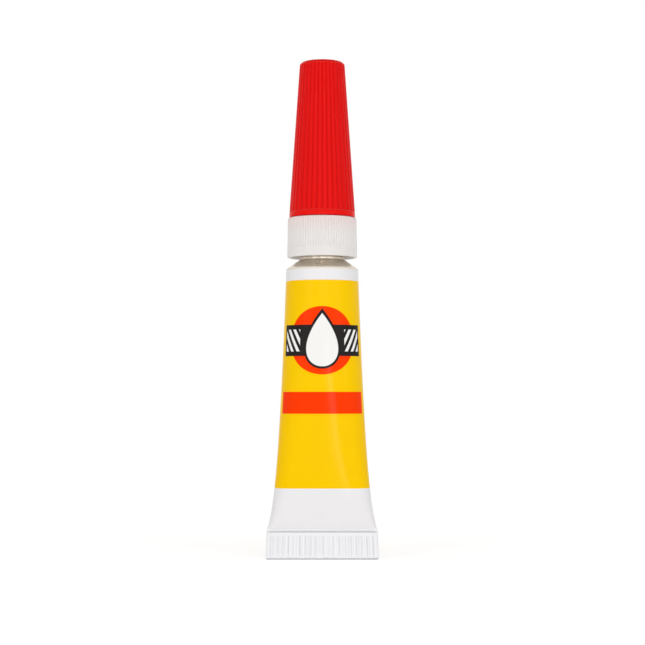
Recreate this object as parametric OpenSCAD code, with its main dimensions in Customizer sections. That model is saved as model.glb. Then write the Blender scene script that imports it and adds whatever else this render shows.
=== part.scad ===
// Super glue tube: a collapsible metal tube with a crimped tail, a screw-on nozzle and a ribbed cap.
// Millimetres, +Z up the tube's axis, origin under the middle of the tail, front towards -Y.

/* [Tube] */
// Outside diameter of the tube at its round end
tube_d = 12.7; // [11.8:0.1:14]
// Length of the tapered wall, from the tail fold up to the shoulder
wall_len = 46; // [38:0.05:56]
// Thickness of the metal wall
wall_t = 0.12; // [0.08:0.01:0.16]
// Thickness of the flattened tube where the tail fold begins
flat_t = 0.6; // [0.5:0.05:1]

/* [Tail fold] */
// Height of the folded and crimped tail
fold_h = 4.8; // [4:0.1:6]
// Thickness of the two walls pressed together in the crimp
crimp_t = 0.55; // [0.45:0.01:0.65]
// How far the pressing of the crimp spreads the tail on each side
crimp_spread = 0.06; // [0:0.01:0.2]
// Thickness of the lap folded up over the front
lap_t = 0.45; // [0.35:0.01:0.6]
// Slit left between the lap and the walls behind it
lap_gap = 0.06; // [0.04:0.01:0.1]
// Radius of the bottom fold's corners
fold_r = 0.25; // [0.15:0.01:0.3]
// Number of crimped ribs across the tail
rib_n = 20; // [16:1:24]
// Depth of the grooves between the crimped ribs
rib_depth = 0.12; // [0.06:0.01:0.14]
// Smooth strip above the crimped ribs
rib_top = 0.75; // [0.6:0.05:1]
// Smooth strip below the crimped ribs
rib_foot = 0.4; // [0.3:0.05:0.6]
// Thickness of the sealing strip between the pressed walls
sealant_t = 0.16; // [0.12:0.01:0.2]
// Height of the sealing strip
sealant_h = 3.8; // [3:0.1:4]
// Distance of the sealing strip from the sides of the fold
sealant_margin = 0.55; // [0.4:0.05:1]

/* [Shoulder and neck] */
// Slope of the shoulder cone
shoulder_angle = 34; // [28:1:38]
// Radius of the edge between the wall and the shoulder
edge_r = 0.15; // [0.1:0.05:0.4]
// Thickness of the shoulder, measured up the axis
shoulder_t = 0.6; // [0.5:0.05:0.8]
// Width of the shoulder, from the outline of the tube in to the neck
shoulder_w = 2.35; // [2.1:0.05:2.6]
// Length of the neck above the shoulder
neck_len = 3.95; // [3.7:0.05:5]
// Thickness of the neck's wall under its thread
neck_wall = 1; // [0.8:0.05:1.2]
// Height of the plain ring at the root of the neck
neck_ring_h = 0.45; // [0.3:0.05:0.55]
// Thickness of the membrane that closes the neck
membrane_t = 0.12; // [0.08:0.01:0.2]
// How far the membrane laps over the end of the neck
membrane_lap = 0.6; // [0.4:0.05:0.8]

/* [Screw thread] */
// Rise of the thread in one turn
lead = 1.25; // [1.2:0.05:1.5]
// Depth of the thread
thread_depth = 0.4; // [0.35:0.01:0.45]
// Radial clearance of the thread
thread_clear = 0.1; // [0.08:0.01:0.12]
// Width of a thread ridge at its root
ridge_w = 0.6; // [0.5:0.01:0.65]
// Width of a thread ridge at its crest
crest_w = 0.3; // [0.2:0.01:0.35]

/* [Nozzle] */
// How far the collar's foot stands inside the outline of the tube
collar_inset = 0.175; // [0.1:0.005:0.5]
// How much narrower the collar is at its top, on the radius
collar_draft = 0.125; // [0.05:0.005:0.2]
// Radius of the collar's outer edges
collar_round = 0.3; // [0.2:0.05:0.45]
// Thickness of the collar's top plate
plate_t = 1; // [0.8:0.05:1.3]
// Width of the flat land under the collar's foot
foot_land = 0.25; // [0.2:0.05:0.5]
// Height of the bevel inside the collar's foot
foot_bevel = 0.7; // [0.5:0.05:0.9]
// Number of fine ribs round the collar
collar_rib_n = 80; // [60:1:96]
// Depth of the collar's ribs at the top
collar_rib_depth = 0.1; // [0.06:0.01:0.16]
// Height of the smooth band at the collar's foot
collar_band = 1.6; // [1.2:0.1:2.2]
// Screw travel that drives the spike through the membrane
pierce_travel = 1.25; // [1:0.05:1.6]
// Gap left under the flange when the nozzle is screwed home
home_gap = 0.05; // [0.03:0.01:0.1]
// Gap left under the collar's foot when the nozzle is screwed home
foot_gap = 0.27; // [0.2:0.01:0.5]
// Thickness of the spout's flange
flange_t = 1; // [0.8:0.05:1.3]
// Width of the flange's lip under the collar's plate
flange_lip = 0.75; // [0.6:0.05:1]
// Length of the straight seat that the cap grips
seat_len = 6.2; // [5:0.1:8]
// Diameter of the spout's tip
tip_d = 2.5; // [2.2:0.05:3]
// Length of the straight tip
tip_len = 3; // [2.5:0.1:4]
// Diameter of the channel through the spout
channel_d = 1.2; // [1.1:0.02:1.4]
// Room between the root of the piercing spike and the neck's bore
spike_play = 0.5; // [0.4:0.05:0.8]
// Diameter of the piercing spike at its point
spike_tip_d = 1.7; // [1.6:0.05:2]
// Gap between the spike and the unbroken membrane
spike_gap = 0.15; // [0.1:0.01:0.25]
// Running clearance of the turning fits, on the radius and at the flange
run_clear = 0.05; // [0.03:0.01:0.08]

/* [Cap] */
// Length of the cap
cap_len = 27.55; // [24:0.05:32]
// How far the cap's foot stands inside the top of the collar
cap_inset = 0.25; // [0.1:0.005:0.5]
// Diameter of the cap at its top
cap_top_d = 7.96; // [7.5:0.02:9]
// Height of the smooth ring at the cap's foot
cap_ring_h = 0.9; // [0.6:0.05:1.4]
// Bevel round the cap's top
cap_bevel = 0.4; // [0.3:0.05:0.9]
// Number of ribs round the cap
cap_rib_n = 36; // [30:1:40]
// Depth of the grooves between the cap's ribs
cap_rib_depth = 0.2; // [0.1:0.01:0.3]
// Width of the grooves between the cap's ribs
cap_groove_w = 0.5; // [0.35:0.01:0.55]
// Thickness of the cap's outer shell
shell_t = 1.1; // [0.9:0.05:1.3]
// Thickness of the cap's inner sleeve
sleeve_t = 0.8; // [0.6:0.05:1]
// Height of the sleeve's foot above the cap's foot
sleeve_inset = 0.45; // [0.2:0.05:1]
// Depth of the pocket between shell and sleeve
pocket_h = 12; // [8:0.5:14]
// Thickness of the cap's roof
roof_t = 1.4; // [1.2:0.05:1.8]
// Gap between the cap and the collar
cap_gap = 0.1; // [0.05:0.01:0.2]
// Room between the spout's tip and the cap's roof
tip_gap = 0.8; // [0.5:0.05:1.2]
// Room between the spout's taper and the cap's sleeve
taper_gap = 0.7; // [0.6:0.05:0.9]
// Diameter of the clog-clearing pin
pin_d = 0.9; // [0.8:0.02:1]
// Diameter of the clog-clearing pin at its point
pin_tip_d = 0.3; // [0.2:0.02:0.5]
// How far the pin reaches into the spout's channel
pin_reach = 4.5; // [3:0.1:7]
// Depth of the pin's hole in the cap's roof
pin_hold = 0.9; // [0.7:0.05:1]
// Running clearance of the pin in the cap's roof
pin_clear = 0.03; // [0.02:0.01:0.05]

/* [Glue] */
// Level of the glue above the tail fold
fill_h = 31.5; // [20:0.5:42]
// Film of air between the glue and the wall
fill_gap = 0.1; // [0.05:0.01:0.15]

/* [Hidden] */
$fn = 96;

// Shape of the flattening: how the half thickness grows up the wall, and how softly it starts
swell_power = 0.41;
swell_soft = 0.066;
// How much closer together the wall's rings lie near the fold
ring_power = 1.8;
// How fast the tube comes back to its axis above the fold
return_power = 3;
// Facets round and along the thin wall, and along one turn of thread
wall_sides = 36;
wall_rings = 10;
turn_steps = 30;
// Facets of a small rounded edge
edge_steps = 6;
// Share of a turn over which a thread ridge fades in and out
fade_turn = 0.15;
// Overshoot of a cutting shape, and overlap of shapes that merge
cut = 1;
merge = 0.1;

tube_r = tube_d / 2;
edge_z = fold_h + wall_len;

// The shoulder cone starts at the rounded edge, tangent to it
cone_r = tube_r - edge_r * (1 - sin(shoulder_angle));
cone_z = edge_z + edge_r * cos(shoulder_angle);
neck_r = tube_r - shoulder_w;
neck_z = cone_height(neck_r);
ring_z = neck_z + neck_ring_h;
neck_top = neck_z + neck_len;
root_r = neck_r - thread_depth;
neck_bore_r = root_r - neck_wall;

// Mating thread inside the collar
collar_bore_r = neck_r + thread_clear;
female_r = root_r + thread_clear;
half_turn = lead / 2;
male_z = ring_z + ridge_w / 2 + merge / 2;
male_end_z = neck_top - ridge_w / 2 - merge;

// Heights of the nozzle, stacked on the membrane
membrane_z = neck_top + membrane_t;
flange_z = membrane_z + pierce_travel + home_gap;
flange_top = flange_z + flange_t;
plate_z = flange_top + run_clear;
collar_top = plate_z + plate_t;
collar_r = tube_r - collar_inset;
collar_top_r = collar_r - collar_draft;
foot_r = collar_r - collar_round - foot_land;
throat_r = collar_bore_r + thread_depth;
foot_z = cone_height(foot_r) + pierce_travel + foot_gap;
collar_rib_r = collar_top_r - collar_rib_depth;
female_z = ring_z + pierce_travel + ridge_w / 2 + thread_clear;
female_end_z = flange_z - ridge_w / 2 - thread_clear;
spike_z = membrane_z + spike_gap;
spike_r = neck_bore_r - spike_play;
flange_r = female_r - run_clear;
spout_r = flange_r - flange_lip;
tip_r = tip_d / 2;
channel_r = channel_d / 2;

// Heights and radii of the cap, seated on the collar
cap_z = collar_top + cap_gap;
cap_top = cap_z + cap_len;
roof_z = cap_top - roof_t;
tip_z = roof_z - tip_gap;
seat_z = cap_z + seat_len;
land_z = tip_z - tip_len;
cap_r = collar_top_r - cap_inset;
cap_top_r = cap_top_d / 2;
cap_ring_z = cap_z + cap_ring_h;
cap_bevel_z = cap_top - cap_bevel;
cap_lean = atan((cap_r - cap_top_r) / (cap_bevel_z - cap_ring_z));
socket_r = spout_r + run_clear;
room_r = tip_r + taper_gap;
sleeve_z = cap_z + sleeve_inset;
pocket_z = cap_z + pocket_h;
pin_r = pin_d / 2;
pin_top = roof_z + pin_hold;
pin_foot = tip_z - pin_reach;
pin_taper = pin_d;

// Half widths of the flattened tube at the top and the foot of the tail fold
fold_top_w = oval_half_width(flat_t / 2);
fold_foot_w = oval_half_width(crimp_t / 2) + crimp_spread;
flare = (flat_t - crimp_t) / 2;
lap_inner_y = -crimp_t / 2 - lap_gap;
lap_front_y = lap_inner_y - lap_t;
slit_z = 2 * fold_r;
crimp_top = fold_h - rib_top;

// The crimp closes on the axis, so the flattened tube stands back by half of the lap and its slit
set_back = (lap_t + lap_gap) / 2;

function degrees(a) = a * 180 / PI;
function cone_height(r) = cone_z + (cone_r - r) * tan(shoulder_angle);
function cap_outer_r(z) = cap_r - (z - cap_ring_z) * tan(cap_lean);

// A tube flattened to half thickness r keeps its girth, so its flats are 2 a long each
function oval_flat(r) = PI * (tube_r - r) / 2;
function oval_half_width(r) = r + oval_flat(r);

// Share of the way up the wall at height z
function wall_share(z) = max(0, z - fold_h) / wall_len;

// Half thickness of the tube at height z: round at the shoulder, flat at the fold
function half_thick(z) =
    let (t = wall_share(z), soft = (t + swell_soft) / (1 + swell_soft))
    flat_t / 2 + (tube_r - flat_t / 2) * t * pow(soft, swell_power - 1);

// How far the tube's middle stands behind the axis at height z
function middle_y(z) = set_back * pow(1 - wall_share(z), return_power);

// Point at the share u of the way round an oval of half thickness r with flats of half length a
function oval_point(u, r, a) =
    let (
        arc = PI * r,
        s = u * (2 * arc + 4 * a),
        top = arc / 2,
        left = top + 2 * a,
        bottom = left + arc,
        right = bottom + 2 * a
    )
    s < top ? [a + r * cos(degrees(s / r)), r * sin(degrees(s / r))]
    : s < left ? [a - (s - top), r]
    : s < bottom ? let (t = 90 + degrees((s - left) / r)) [-a + r * cos(t), r * sin(t)]
    : s < right ? [-a + (s - bottom), -r]
    : let (t = 270 + degrees((s - right) / r)) [a + r * cos(t), r * sin(t)];

// Ring of points on the tube at height z, set in from the outer surface
function oval_ring(z, inset) =
    let (r = half_thick(z), a = oval_flat(r))
    [
        for (i = [0:wall_sides - 1])
            let (p = oval_point(i / wall_sides, r - inset, a)) [p[0], p[1] + middle_y(z), z]
    ];

// Heights of the wall's rings, closer together near the fold where the wall turns fastest
function ring_heights() =
    [for (k = [0:wall_rings]) fold_h + wall_len * pow(k / wall_rings, ring_power)];

// Triangles between successive rings of points, the first point of the lowest ring being start
function band_faces(start, rings, sides, outward) = [
    for (k = [0:rings - 1], i = [0:sides - 1], half = [0, 1])
        let (
            a = start + k * sides + i,
            b = start + k * sides + (i + 1) % sides,
            tri = half == 0 ? [a, a + sides, b] : [b, a + sides, b + sides]
        )
        outward ? tri : [tri[2], tri[1], tri[0]]
];

// Triangles that close the rim between two rings
function rim_faces(outer, inner, sides, up) = [
    for (i = [0:sides - 1], half = [0, 1])
        let (
            j = (i + 1) % sides,
            tri = half == 0 ? [outer + i, inner + i, outer + j] : [outer + j, inner + i, inner + j]
        )
        up ? tri : [tri[2], tri[1], tri[0]]
];

// Points on a round edge of radius r about centre c, from angle a to angle b
function arc_points(c, r, a, b) =
    [for (k = [0:edge_steps]) let (t = a + (b - a) * k / edge_steps) c + r * [cos(t), sin(t)]];

// Height of a ridge of the thread, 0 to 1, fading at both ends of its run
function fade(turn, turns) = min(1, turn / fade_turn, (turns - turn) / fade_turn);

// One helical ridge: root and crest radii, heights of its ends, and its shift up the axis
module thread_ridge(root, crest, low, high, shift) {
    side = sign(crest - root);
    turns = (high - low) / lead;
    steps = ceil(turns * turn_steps);
    points = [
        for (k = [0:steps])
            let (
                turn = turns * k / steps,
                z = low + lead * turn,
                angle = 360 * (z - shift - male_z) / lead,
                sunk = root - side * merge,
                base = root - side * merge / 2,
                tip = base + (crest - base) * fade(turn, turns)
            )
            each [
                for (p = [
                    [sunk, -ridge_w / 2], [tip, -crest_w / 2],
                    [tip, crest_w / 2], [sunk, ridge_w / 2]
                ])
                    [p[0] * cos(angle), p[0] * sin(angle), z + p[1]]
            ]
    ];
    last = 4 * steps;
    polyhedron(points, concat(
        band_faces(0, steps, 4, side > 0),
        side > 0 ? [[3, 2, 1, 0], [last, last + 1, last + 2, last + 3]]
                 : [[0, 1, 2, 3], [last + 3, last + 2, last + 1, last]]
    ));
}

// V-shaped groove along Z, cut to the given depth into a face at x = 0 that looks along +X
module v_groove(width, depth, length) {
    mouth = width / 2 * (1 + cut / depth);
    linear_extrude(length) polygon([[-depth, 0], [cut, -mouth], [cut, mouth]]);
}

// Thin drawn wall, round at the shoulder and pressed flat at the tail
module tube_wall() {
    heights = ring_heights();
    inner = (wall_rings + 1) * wall_sides;
    points = [
        for (inset = [0, wall_t], z = heights)
            each oval_ring(z, inset)
    ];
    top = wall_rings * wall_sides;
    color([0.98, 0.82, 0.05])
    polyhedron(points, concat(
        band_faces(0, wall_rings, wall_sides, true),
        band_faces(inner, wall_rings, wall_sides, false),
        rim_faces(0, inner, wall_sides, false),
        rim_faces(top, inner + top, wall_sides, true)
    ));
}

// Side profile of the tail: pressed walls behind, lap folded up in front, slit between them
module fold_profile() {
    back_y = crimp_t / 2;
    polygon(concat(
        [[flat_t / 2, fold_h], [back_y, crimp_top]],
        arc_points([back_y - fold_r, fold_r], fold_r, 0, -90),
        arc_points([lap_front_y + fold_r, fold_r], fold_r, 270, 180),
        [
            [lap_front_y, crimp_top],
            [lap_front_y - flare, fold_h],
            [lap_inner_y - flare, fold_h],
            [lap_inner_y, crimp_top],
            [lap_inner_y, slit_z],
            [-back_y, slit_z],
            [-back_y, crimp_top],
            [-flat_t / 2, fold_h]
        ]
    ));
}

// Folded and crimped tail with its ribs on both faces
module tail_fold() {
    pitch = 2 * fold_foot_w / rib_n;
    rib_len = crimp_top - rib_foot;
    color([0.93, 0.93, 0.94])
    translate([0, set_back, 0])
    difference() {
        intersection() {
            rotate([90, 0, 90])
                translate([0, 0, -fold_foot_w]) linear_extrude(2 * fold_foot_w) fold_profile();
            rotate([90, 0, 0])
                translate([0, 0, -tube_r]) linear_extrude(tube_d) polygon([
                    [-fold_foot_w, 0], [fold_foot_w, 0], [fold_top_w, fold_h], [-fold_top_w, fold_h]
                ]);
        }
        for (i = [1:rib_n - 1]) {
            translate([-fold_foot_w + i * pitch, crimp_t / 2, rib_foot])
                rotate([0, 0, 90]) v_groove(pitch / 2, rib_depth, rib_len);
            translate([-fold_foot_w + i * pitch, lap_front_y, rib_foot])
                rotate([0, 0, -90]) v_groove(pitch / 2, rib_depth, rib_len);
        }
        sealant_block(cut);
    }
}

// Block of the sealing strip, standing the given height out of the fold
module sealant_block(over) {
    half_w = fold_top_w - sealant_margin;
    translate([-half_w, -sealant_t / 2, fold_h - sealant_h])
        cube([2 * half_w, sealant_t, sealant_h + over]);
}

// Strip of sealing compound held between the pressed walls
module fold_sealant() {
    color([0.82, 0.74, 0.58]) translate([0, set_back, 0]) sealant_block(0);
}

// Liquid glue inside the wall, with rings at the wall's own so that the film between them stays even
module adhesive() {
    inset = wall_t + fill_gap;
    foot = fold_h + fill_gap;
    level = fold_h + fill_h;
    between = [
        for (z = ring_heights())
            if (z > foot + fill_gap && z < level - fill_gap) z
    ];
    heights = concat(foot, between, level);
    bands = len(heights) - 1;
    top = bands * wall_sides;
    color([0.88, 0.93, 0.96, 0.5])
    polyhedron(
        [for (z = heights) each oval_ring(z, inset)],
        concat(
            band_faces(0, bands, wall_sides, true),
            [[for (i = [0:wall_sides - 1]) i]],
            [[for (i = [0:wall_sides - 1]) top + wall_sides - 1 - i]]
        )
    );
}

// Shoulder cone with its rounded edge, and the threaded neck
module tube_shoulder() {
    inner_r = cone_r - (edge_z + shoulder_t - cone_z) / tan(shoulder_angle);
    color([0.78, 0.76, 0.73])
    union() {
        rotate_extrude() polygon(concat(
            [[inner_r, edge_z]],
            arc_points([tube_r - edge_r, edge_z], edge_r, 0, 90 - shoulder_angle),
            [
                [neck_r, neck_z], [neck_r, ring_z],
                [root_r, ring_z], [root_r, neck_top],
                [neck_bore_r, neck_top], [neck_bore_r, cone_height(neck_bore_r) - shoulder_t]
            ]
        ));
        thread_ridge(root_r, neck_r, male_z, male_end_z, 0);
    }
}

// Thin metal membrane across the end of the neck
module seal_membrane() {
    color([0.85, 0.85, 0.86])
    translate([0, 0, neck_top]) cylinder(h = membrane_t, r = neck_bore_r + membrane_lap);
}

// Ring cutter whose inner edge is toothed: it leaves the collar's fine ribs
module collar_rib_cutter() {
    step = 360 / collar_rib_n;
    teeth = [
        for (i = [0:collar_rib_n - 1])
            each [
                collar_rib_r * [cos(i * step), sin(i * step)],
                collar_r * [cos((i + 0.5) * step), sin((i + 0.5) * step)]
            ]
    ];
    linear_extrude(collar_top - foot_z)
    difference() {
        circle(collar_r + cut);
        polygon(teeth);
    }
}

// Ribbed collar that screws onto the neck and holds the spout by its flange
module nozzle_collar() {
    color([0.93, 0.92, 0.91])
    union() {
        difference() {
            rotate_extrude() polygon(concat(
                [[0, foot_z]],
                arc_points([collar_r - collar_round, foot_z + collar_round], collar_round, -90, 0),
                arc_points([collar_top_r - collar_round, collar_top - collar_round], collar_round, 0, 90),
                [[0, collar_top]]
            ));
            translate([0, 0, foot_z - cut]) cylinder(h = plate_z - foot_z + cut, r = collar_bore_r);
            translate([0, 0, foot_z]) cylinder(h = foot_bevel, r1 = foot_r, r2 = throat_r);
            translate([0, 0, foot_z + foot_bevel - merge])
                cylinder(h = female_z - ridge_w - foot_z - foot_bevel + merge, r = throat_r);
            translate([0, 0, plate_z - cut]) cylinder(h = plate_t + 2 * cut, r = spout_r + run_clear);
            translate([0, 0, foot_z + collar_band]) collar_rib_cutter();
        }
        thread_ridge(collar_bore_r, female_r, female_z, female_end_z, half_turn);
    }
}

// Tapered spout with its flange, its channel and the spike that opens the membrane
module nozzle_spout() {
    color([0.95, 0.94, 0.92])
    rotate_extrude() polygon([
        [channel_r, spike_z], [spike_tip_d / 2, spike_z],
        [spike_r, flange_z], [flange_r, flange_z], [flange_r, flange_top],
        [spout_r, flange_top], [spout_r, seat_z],
        [tip_r, land_z], [tip_r, tip_z], [channel_r, tip_z]
    ]);
}

// Steel pin that hangs from the cap's roof into the spout's channel
module cap_pin() {
    color([0.72, 0.73, 0.75])
    rotate_extrude() polygon([
        [0, pin_foot], [pin_tip_d / 2, pin_foot], [pin_r, pin_foot + pin_taper],
        [pin_r, pin_top - pin_clear], [0, pin_top - pin_clear]
    ]);
}

// Space inside the cap for the seat, the taper and the tip of the spout
module spout_room(grow) {
    rotate_extrude() polygon([
        [0, cap_z - cut], [socket_r + grow, cap_z - cut], [socket_r + grow, seat_z + taper_gap],
        [room_r + grow, land_z], [room_r + grow, roof_z], [0, roof_z]
    ]);
}

// Pocket between the cap's outer shell and its inner sleeve
module cap_pocket() {
    difference() {
        rotate_extrude() polygon([
            [0, cap_z - cut], [cap_outer_r(cap_z) - shell_t, cap_z - cut],
            [cap_outer_r(pocket_z) - shell_t, pocket_z], [0, pocket_z]
        ]);
        difference() {
            spout_room(sleeve_t);
            translate([0, 0, cap_z - 2 * cut]) cylinder(h = sleeve_z - cap_z + 2 * cut, r = cap_r);
        }
    }
}

// Tapered cap with long ribs, a smooth foot ring and a bevelled top
module cap() {
    groove_z = cap_ring_z;
    groove_len = (cap_bevel_z - groove_z) / cos(cap_lean) - cap_rib_depth;
    color([0.87, 0.09, 0.07])
    difference() {
        rotate_extrude() polygon([
            [0, cap_z], [cap_r, cap_z], [cap_r, cap_ring_z],
            [cap_top_r, cap_bevel_z], [cap_top_r - cap_bevel, cap_top], [0, cap_top]
        ]);
        cap_pocket();
        spout_room(0);
        translate([0, 0, roof_z - cut]) cylinder(h = pin_hold + cut, r = pin_r + pin_clear);
        for (i = [0:cap_rib_n - 1])
            rotate([0, 0, (i + 0.5) * 360 / cap_rib_n])
                translate([cap_r, 0, groove_z])
                    rotate([0, -cap_lean, 0]) v_groove(cap_groove_w, cap_rib_depth, groove_len);
    }
}

tube_wall();
tail_fold();
fold_sealant();
adhesive();
tube_shoulder();
seal_membrane();
nozzle_collar();
nozzle_spout();
cap_pin();
cap();
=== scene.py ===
"""Looks of a small collapsible glue tube with a crimped tail, a screw-on nozzle and a ribbed cap.

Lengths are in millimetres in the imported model's frame: +Z up the tube's axis, front towards -Y.
They become metres where a mesh, a lamp or the camera is made.
"""

import logging
import math
from dataclasses import dataclass
from enum import Enum
from typing import Any, Sequence

import bpy
import numpy as np
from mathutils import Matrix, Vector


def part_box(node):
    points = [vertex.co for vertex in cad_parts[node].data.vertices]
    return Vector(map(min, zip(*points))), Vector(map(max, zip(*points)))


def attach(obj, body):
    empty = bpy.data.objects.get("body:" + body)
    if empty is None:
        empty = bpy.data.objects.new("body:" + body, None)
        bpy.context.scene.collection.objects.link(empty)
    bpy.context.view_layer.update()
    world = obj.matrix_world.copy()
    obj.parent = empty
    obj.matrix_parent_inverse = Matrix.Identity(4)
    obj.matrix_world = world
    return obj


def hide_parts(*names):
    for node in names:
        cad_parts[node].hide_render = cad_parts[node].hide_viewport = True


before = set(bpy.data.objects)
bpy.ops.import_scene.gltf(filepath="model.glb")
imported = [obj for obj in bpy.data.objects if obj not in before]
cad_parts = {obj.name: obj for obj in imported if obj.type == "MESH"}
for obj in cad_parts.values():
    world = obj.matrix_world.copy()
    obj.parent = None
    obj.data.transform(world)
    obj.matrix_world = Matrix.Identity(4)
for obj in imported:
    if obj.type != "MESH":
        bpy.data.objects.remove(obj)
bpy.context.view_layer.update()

LOG = logging.getLogger("glue_tube")
MM = 0.001
FULL_TURN = 2.0 * math.pi
SHARP_ANGLE = math.radians(50.0)

Colour = tuple[float, float, float]
WHITE: Colour = (1.0, 1.0, 1.0)


class Body(Enum):
    """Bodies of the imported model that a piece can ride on."""

    TUBE = "tube"
    SPOUT = "spout"
    COLLAR = "collar"
    PIN = "pin"
    CAP = "cap"


class Slot(Enum):
    """Material slots of the record."""

    PRINT = "enamel_print"
    ENAMEL = "enamel_white"
    METAL = "bare_aluminium"
    GLUE = "liquid_glue"
    NOZZLE = "nozzle_plastic"
    CAP = "cap_plastic"
    STEEL = "pin_steel"


class Winding(Enum):
    """How the rows of a grid of points close up."""

    OPEN = "open"
    LOOP = "loop"
    POLES = "poles"


def srgb(red: int, green: int, blue: int) -> Colour:
    """Turn a colour in display values into the linear one that a shader takes.

    Args:
        red: Red, 0 to 255.
        green: Green, 0 to 255.
        blue: Blue, 0 to 255.

    Returns:
        The linear colour, each part from 0 to 1.
    """
    parts = np.array([red, green, blue]) / 255.0
    linear = np.where(parts <= 0.04045, parts / 12.92, ((parts + 0.055) / 1.055) ** 2.4)
    return tuple(float(part) for part in linear)


@dataclass(frozen=True)
class Span:
    """Box of a CAD node, in millimetres."""

    low: np.ndarray
    high: np.ndarray

    @classmethod
    def of(cls, node: str) -> "Span":
        """Read the box of a node from the frame."""
        low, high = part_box(node)
        return cls(np.array(low) / MM, np.array(high) / MM)

    @property
    def foot(self) -> float:
        """Lowest height of the node."""
        return float(self.low[2])

    @property
    def top(self) -> float:
        """Greatest height of the node."""
        return float(self.high[2])

    @property
    def half_width(self) -> float:
        """Half of the node's width along X."""
        return float(self.high[0] - self.low[0]) / 2.0


def ease(share: np.ndarray) -> np.ndarray:
    """Rise smoothly from 0 to 1: 3 t squared less 2 t cubed, with t held between 0 and 1."""
    held = np.clip(share, 0.0, 1.0)
    return held * held * (3.0 - 2.0 * held)


@dataclass(frozen=True)
class Corner:
    """Corner of an outline: its two coordinates, how far from it the rounding starts, and its name."""

    across: float
    up: float
    setback: float = 0.0
    name: str = ""


@dataclass(frozen=True)
class Outline:
    """Points along an outline, for each the number of the corner last passed, and the named corners."""

    points: np.ndarray
    leg: np.ndarray
    names: dict[str, int]

    @classmethod
    def through(cls, corners: Sequence[Corner], closed: bool, step: float, bends: int = 6) -> "Outline":
        """Carry an outline through its corners.

        A corner with a setback s becomes the parabola (1-t)^2 A + 2 t (1-t) P + t^2 B, where P is the
        corner and A and B lie s before and after it. Straight stretches are cut to the given step.

        Args:
            corners: Corners in order.
            closed: True where the last corner joins the first.
            step: Longest stretch between two points.
            bends: Stretches in one rounded corner.

        Returns:
            The outline. A closed one doesn't repeat its first point.
        """
        spots = np.array([(c.across, c.up) for c in corners])
        count = len(corners)
        share = np.linspace(0.0, 1.0, bends + 1)[:, None]
        pieces: list[np.ndarray] = []
        legs: list[np.ndarray] = []
        for index, corner in enumerate(corners):
            spot = spots[index]
            bend = spot[None, :]
            if corner.setback > 0.0 and (closed or 0 < index < count - 1):
                back = spots[index - 1] - spot
                ahead = spots[(index + 1) % count] - spot
                before = spot + back / np.linalg.norm(back) * corner.setback
                after = spot + ahead / np.linalg.norm(ahead) * corner.setback
                bend = (1 - share) ** 2 * before + 2 * share * (1 - share) * spot + share ** 2 * after
            pieces.append(bend)
            legs.append(np.full(len(bend), index))
        points = np.concatenate(pieces)
        leg = np.concatenate(legs)
        ends = np.roll(points, -1, axis=0)
        stretches = len(points) if closed else len(points) - 1
        cuts = np.maximum(1, np.ceil(np.linalg.norm(ends - points, axis=1) / step)).astype(int)[:stretches]
        start = np.repeat(np.arange(stretches), cuts)
        part = (np.arange(cuts.sum()) - np.repeat(np.cumsum(cuts) - cuts, cuts)) / np.repeat(cuts, cuts)
        line = points[start] + (ends[start] - points[start]) * part[:, None]
        line_leg = leg[start]
        if not closed:
            line = np.vstack([line, points[-1]])
            line_leg = np.append(line_leg, leg[-1])
        return cls(line, line_leg, {c.name: index for index, c in enumerate(corners) if c.name})

    def between(self, first: str, last: str) -> np.ndarray:
        """True for each point from one named corner up to another."""
        return (self.leg >= self.names[first]) & (self.leg < self.names[last])


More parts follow.
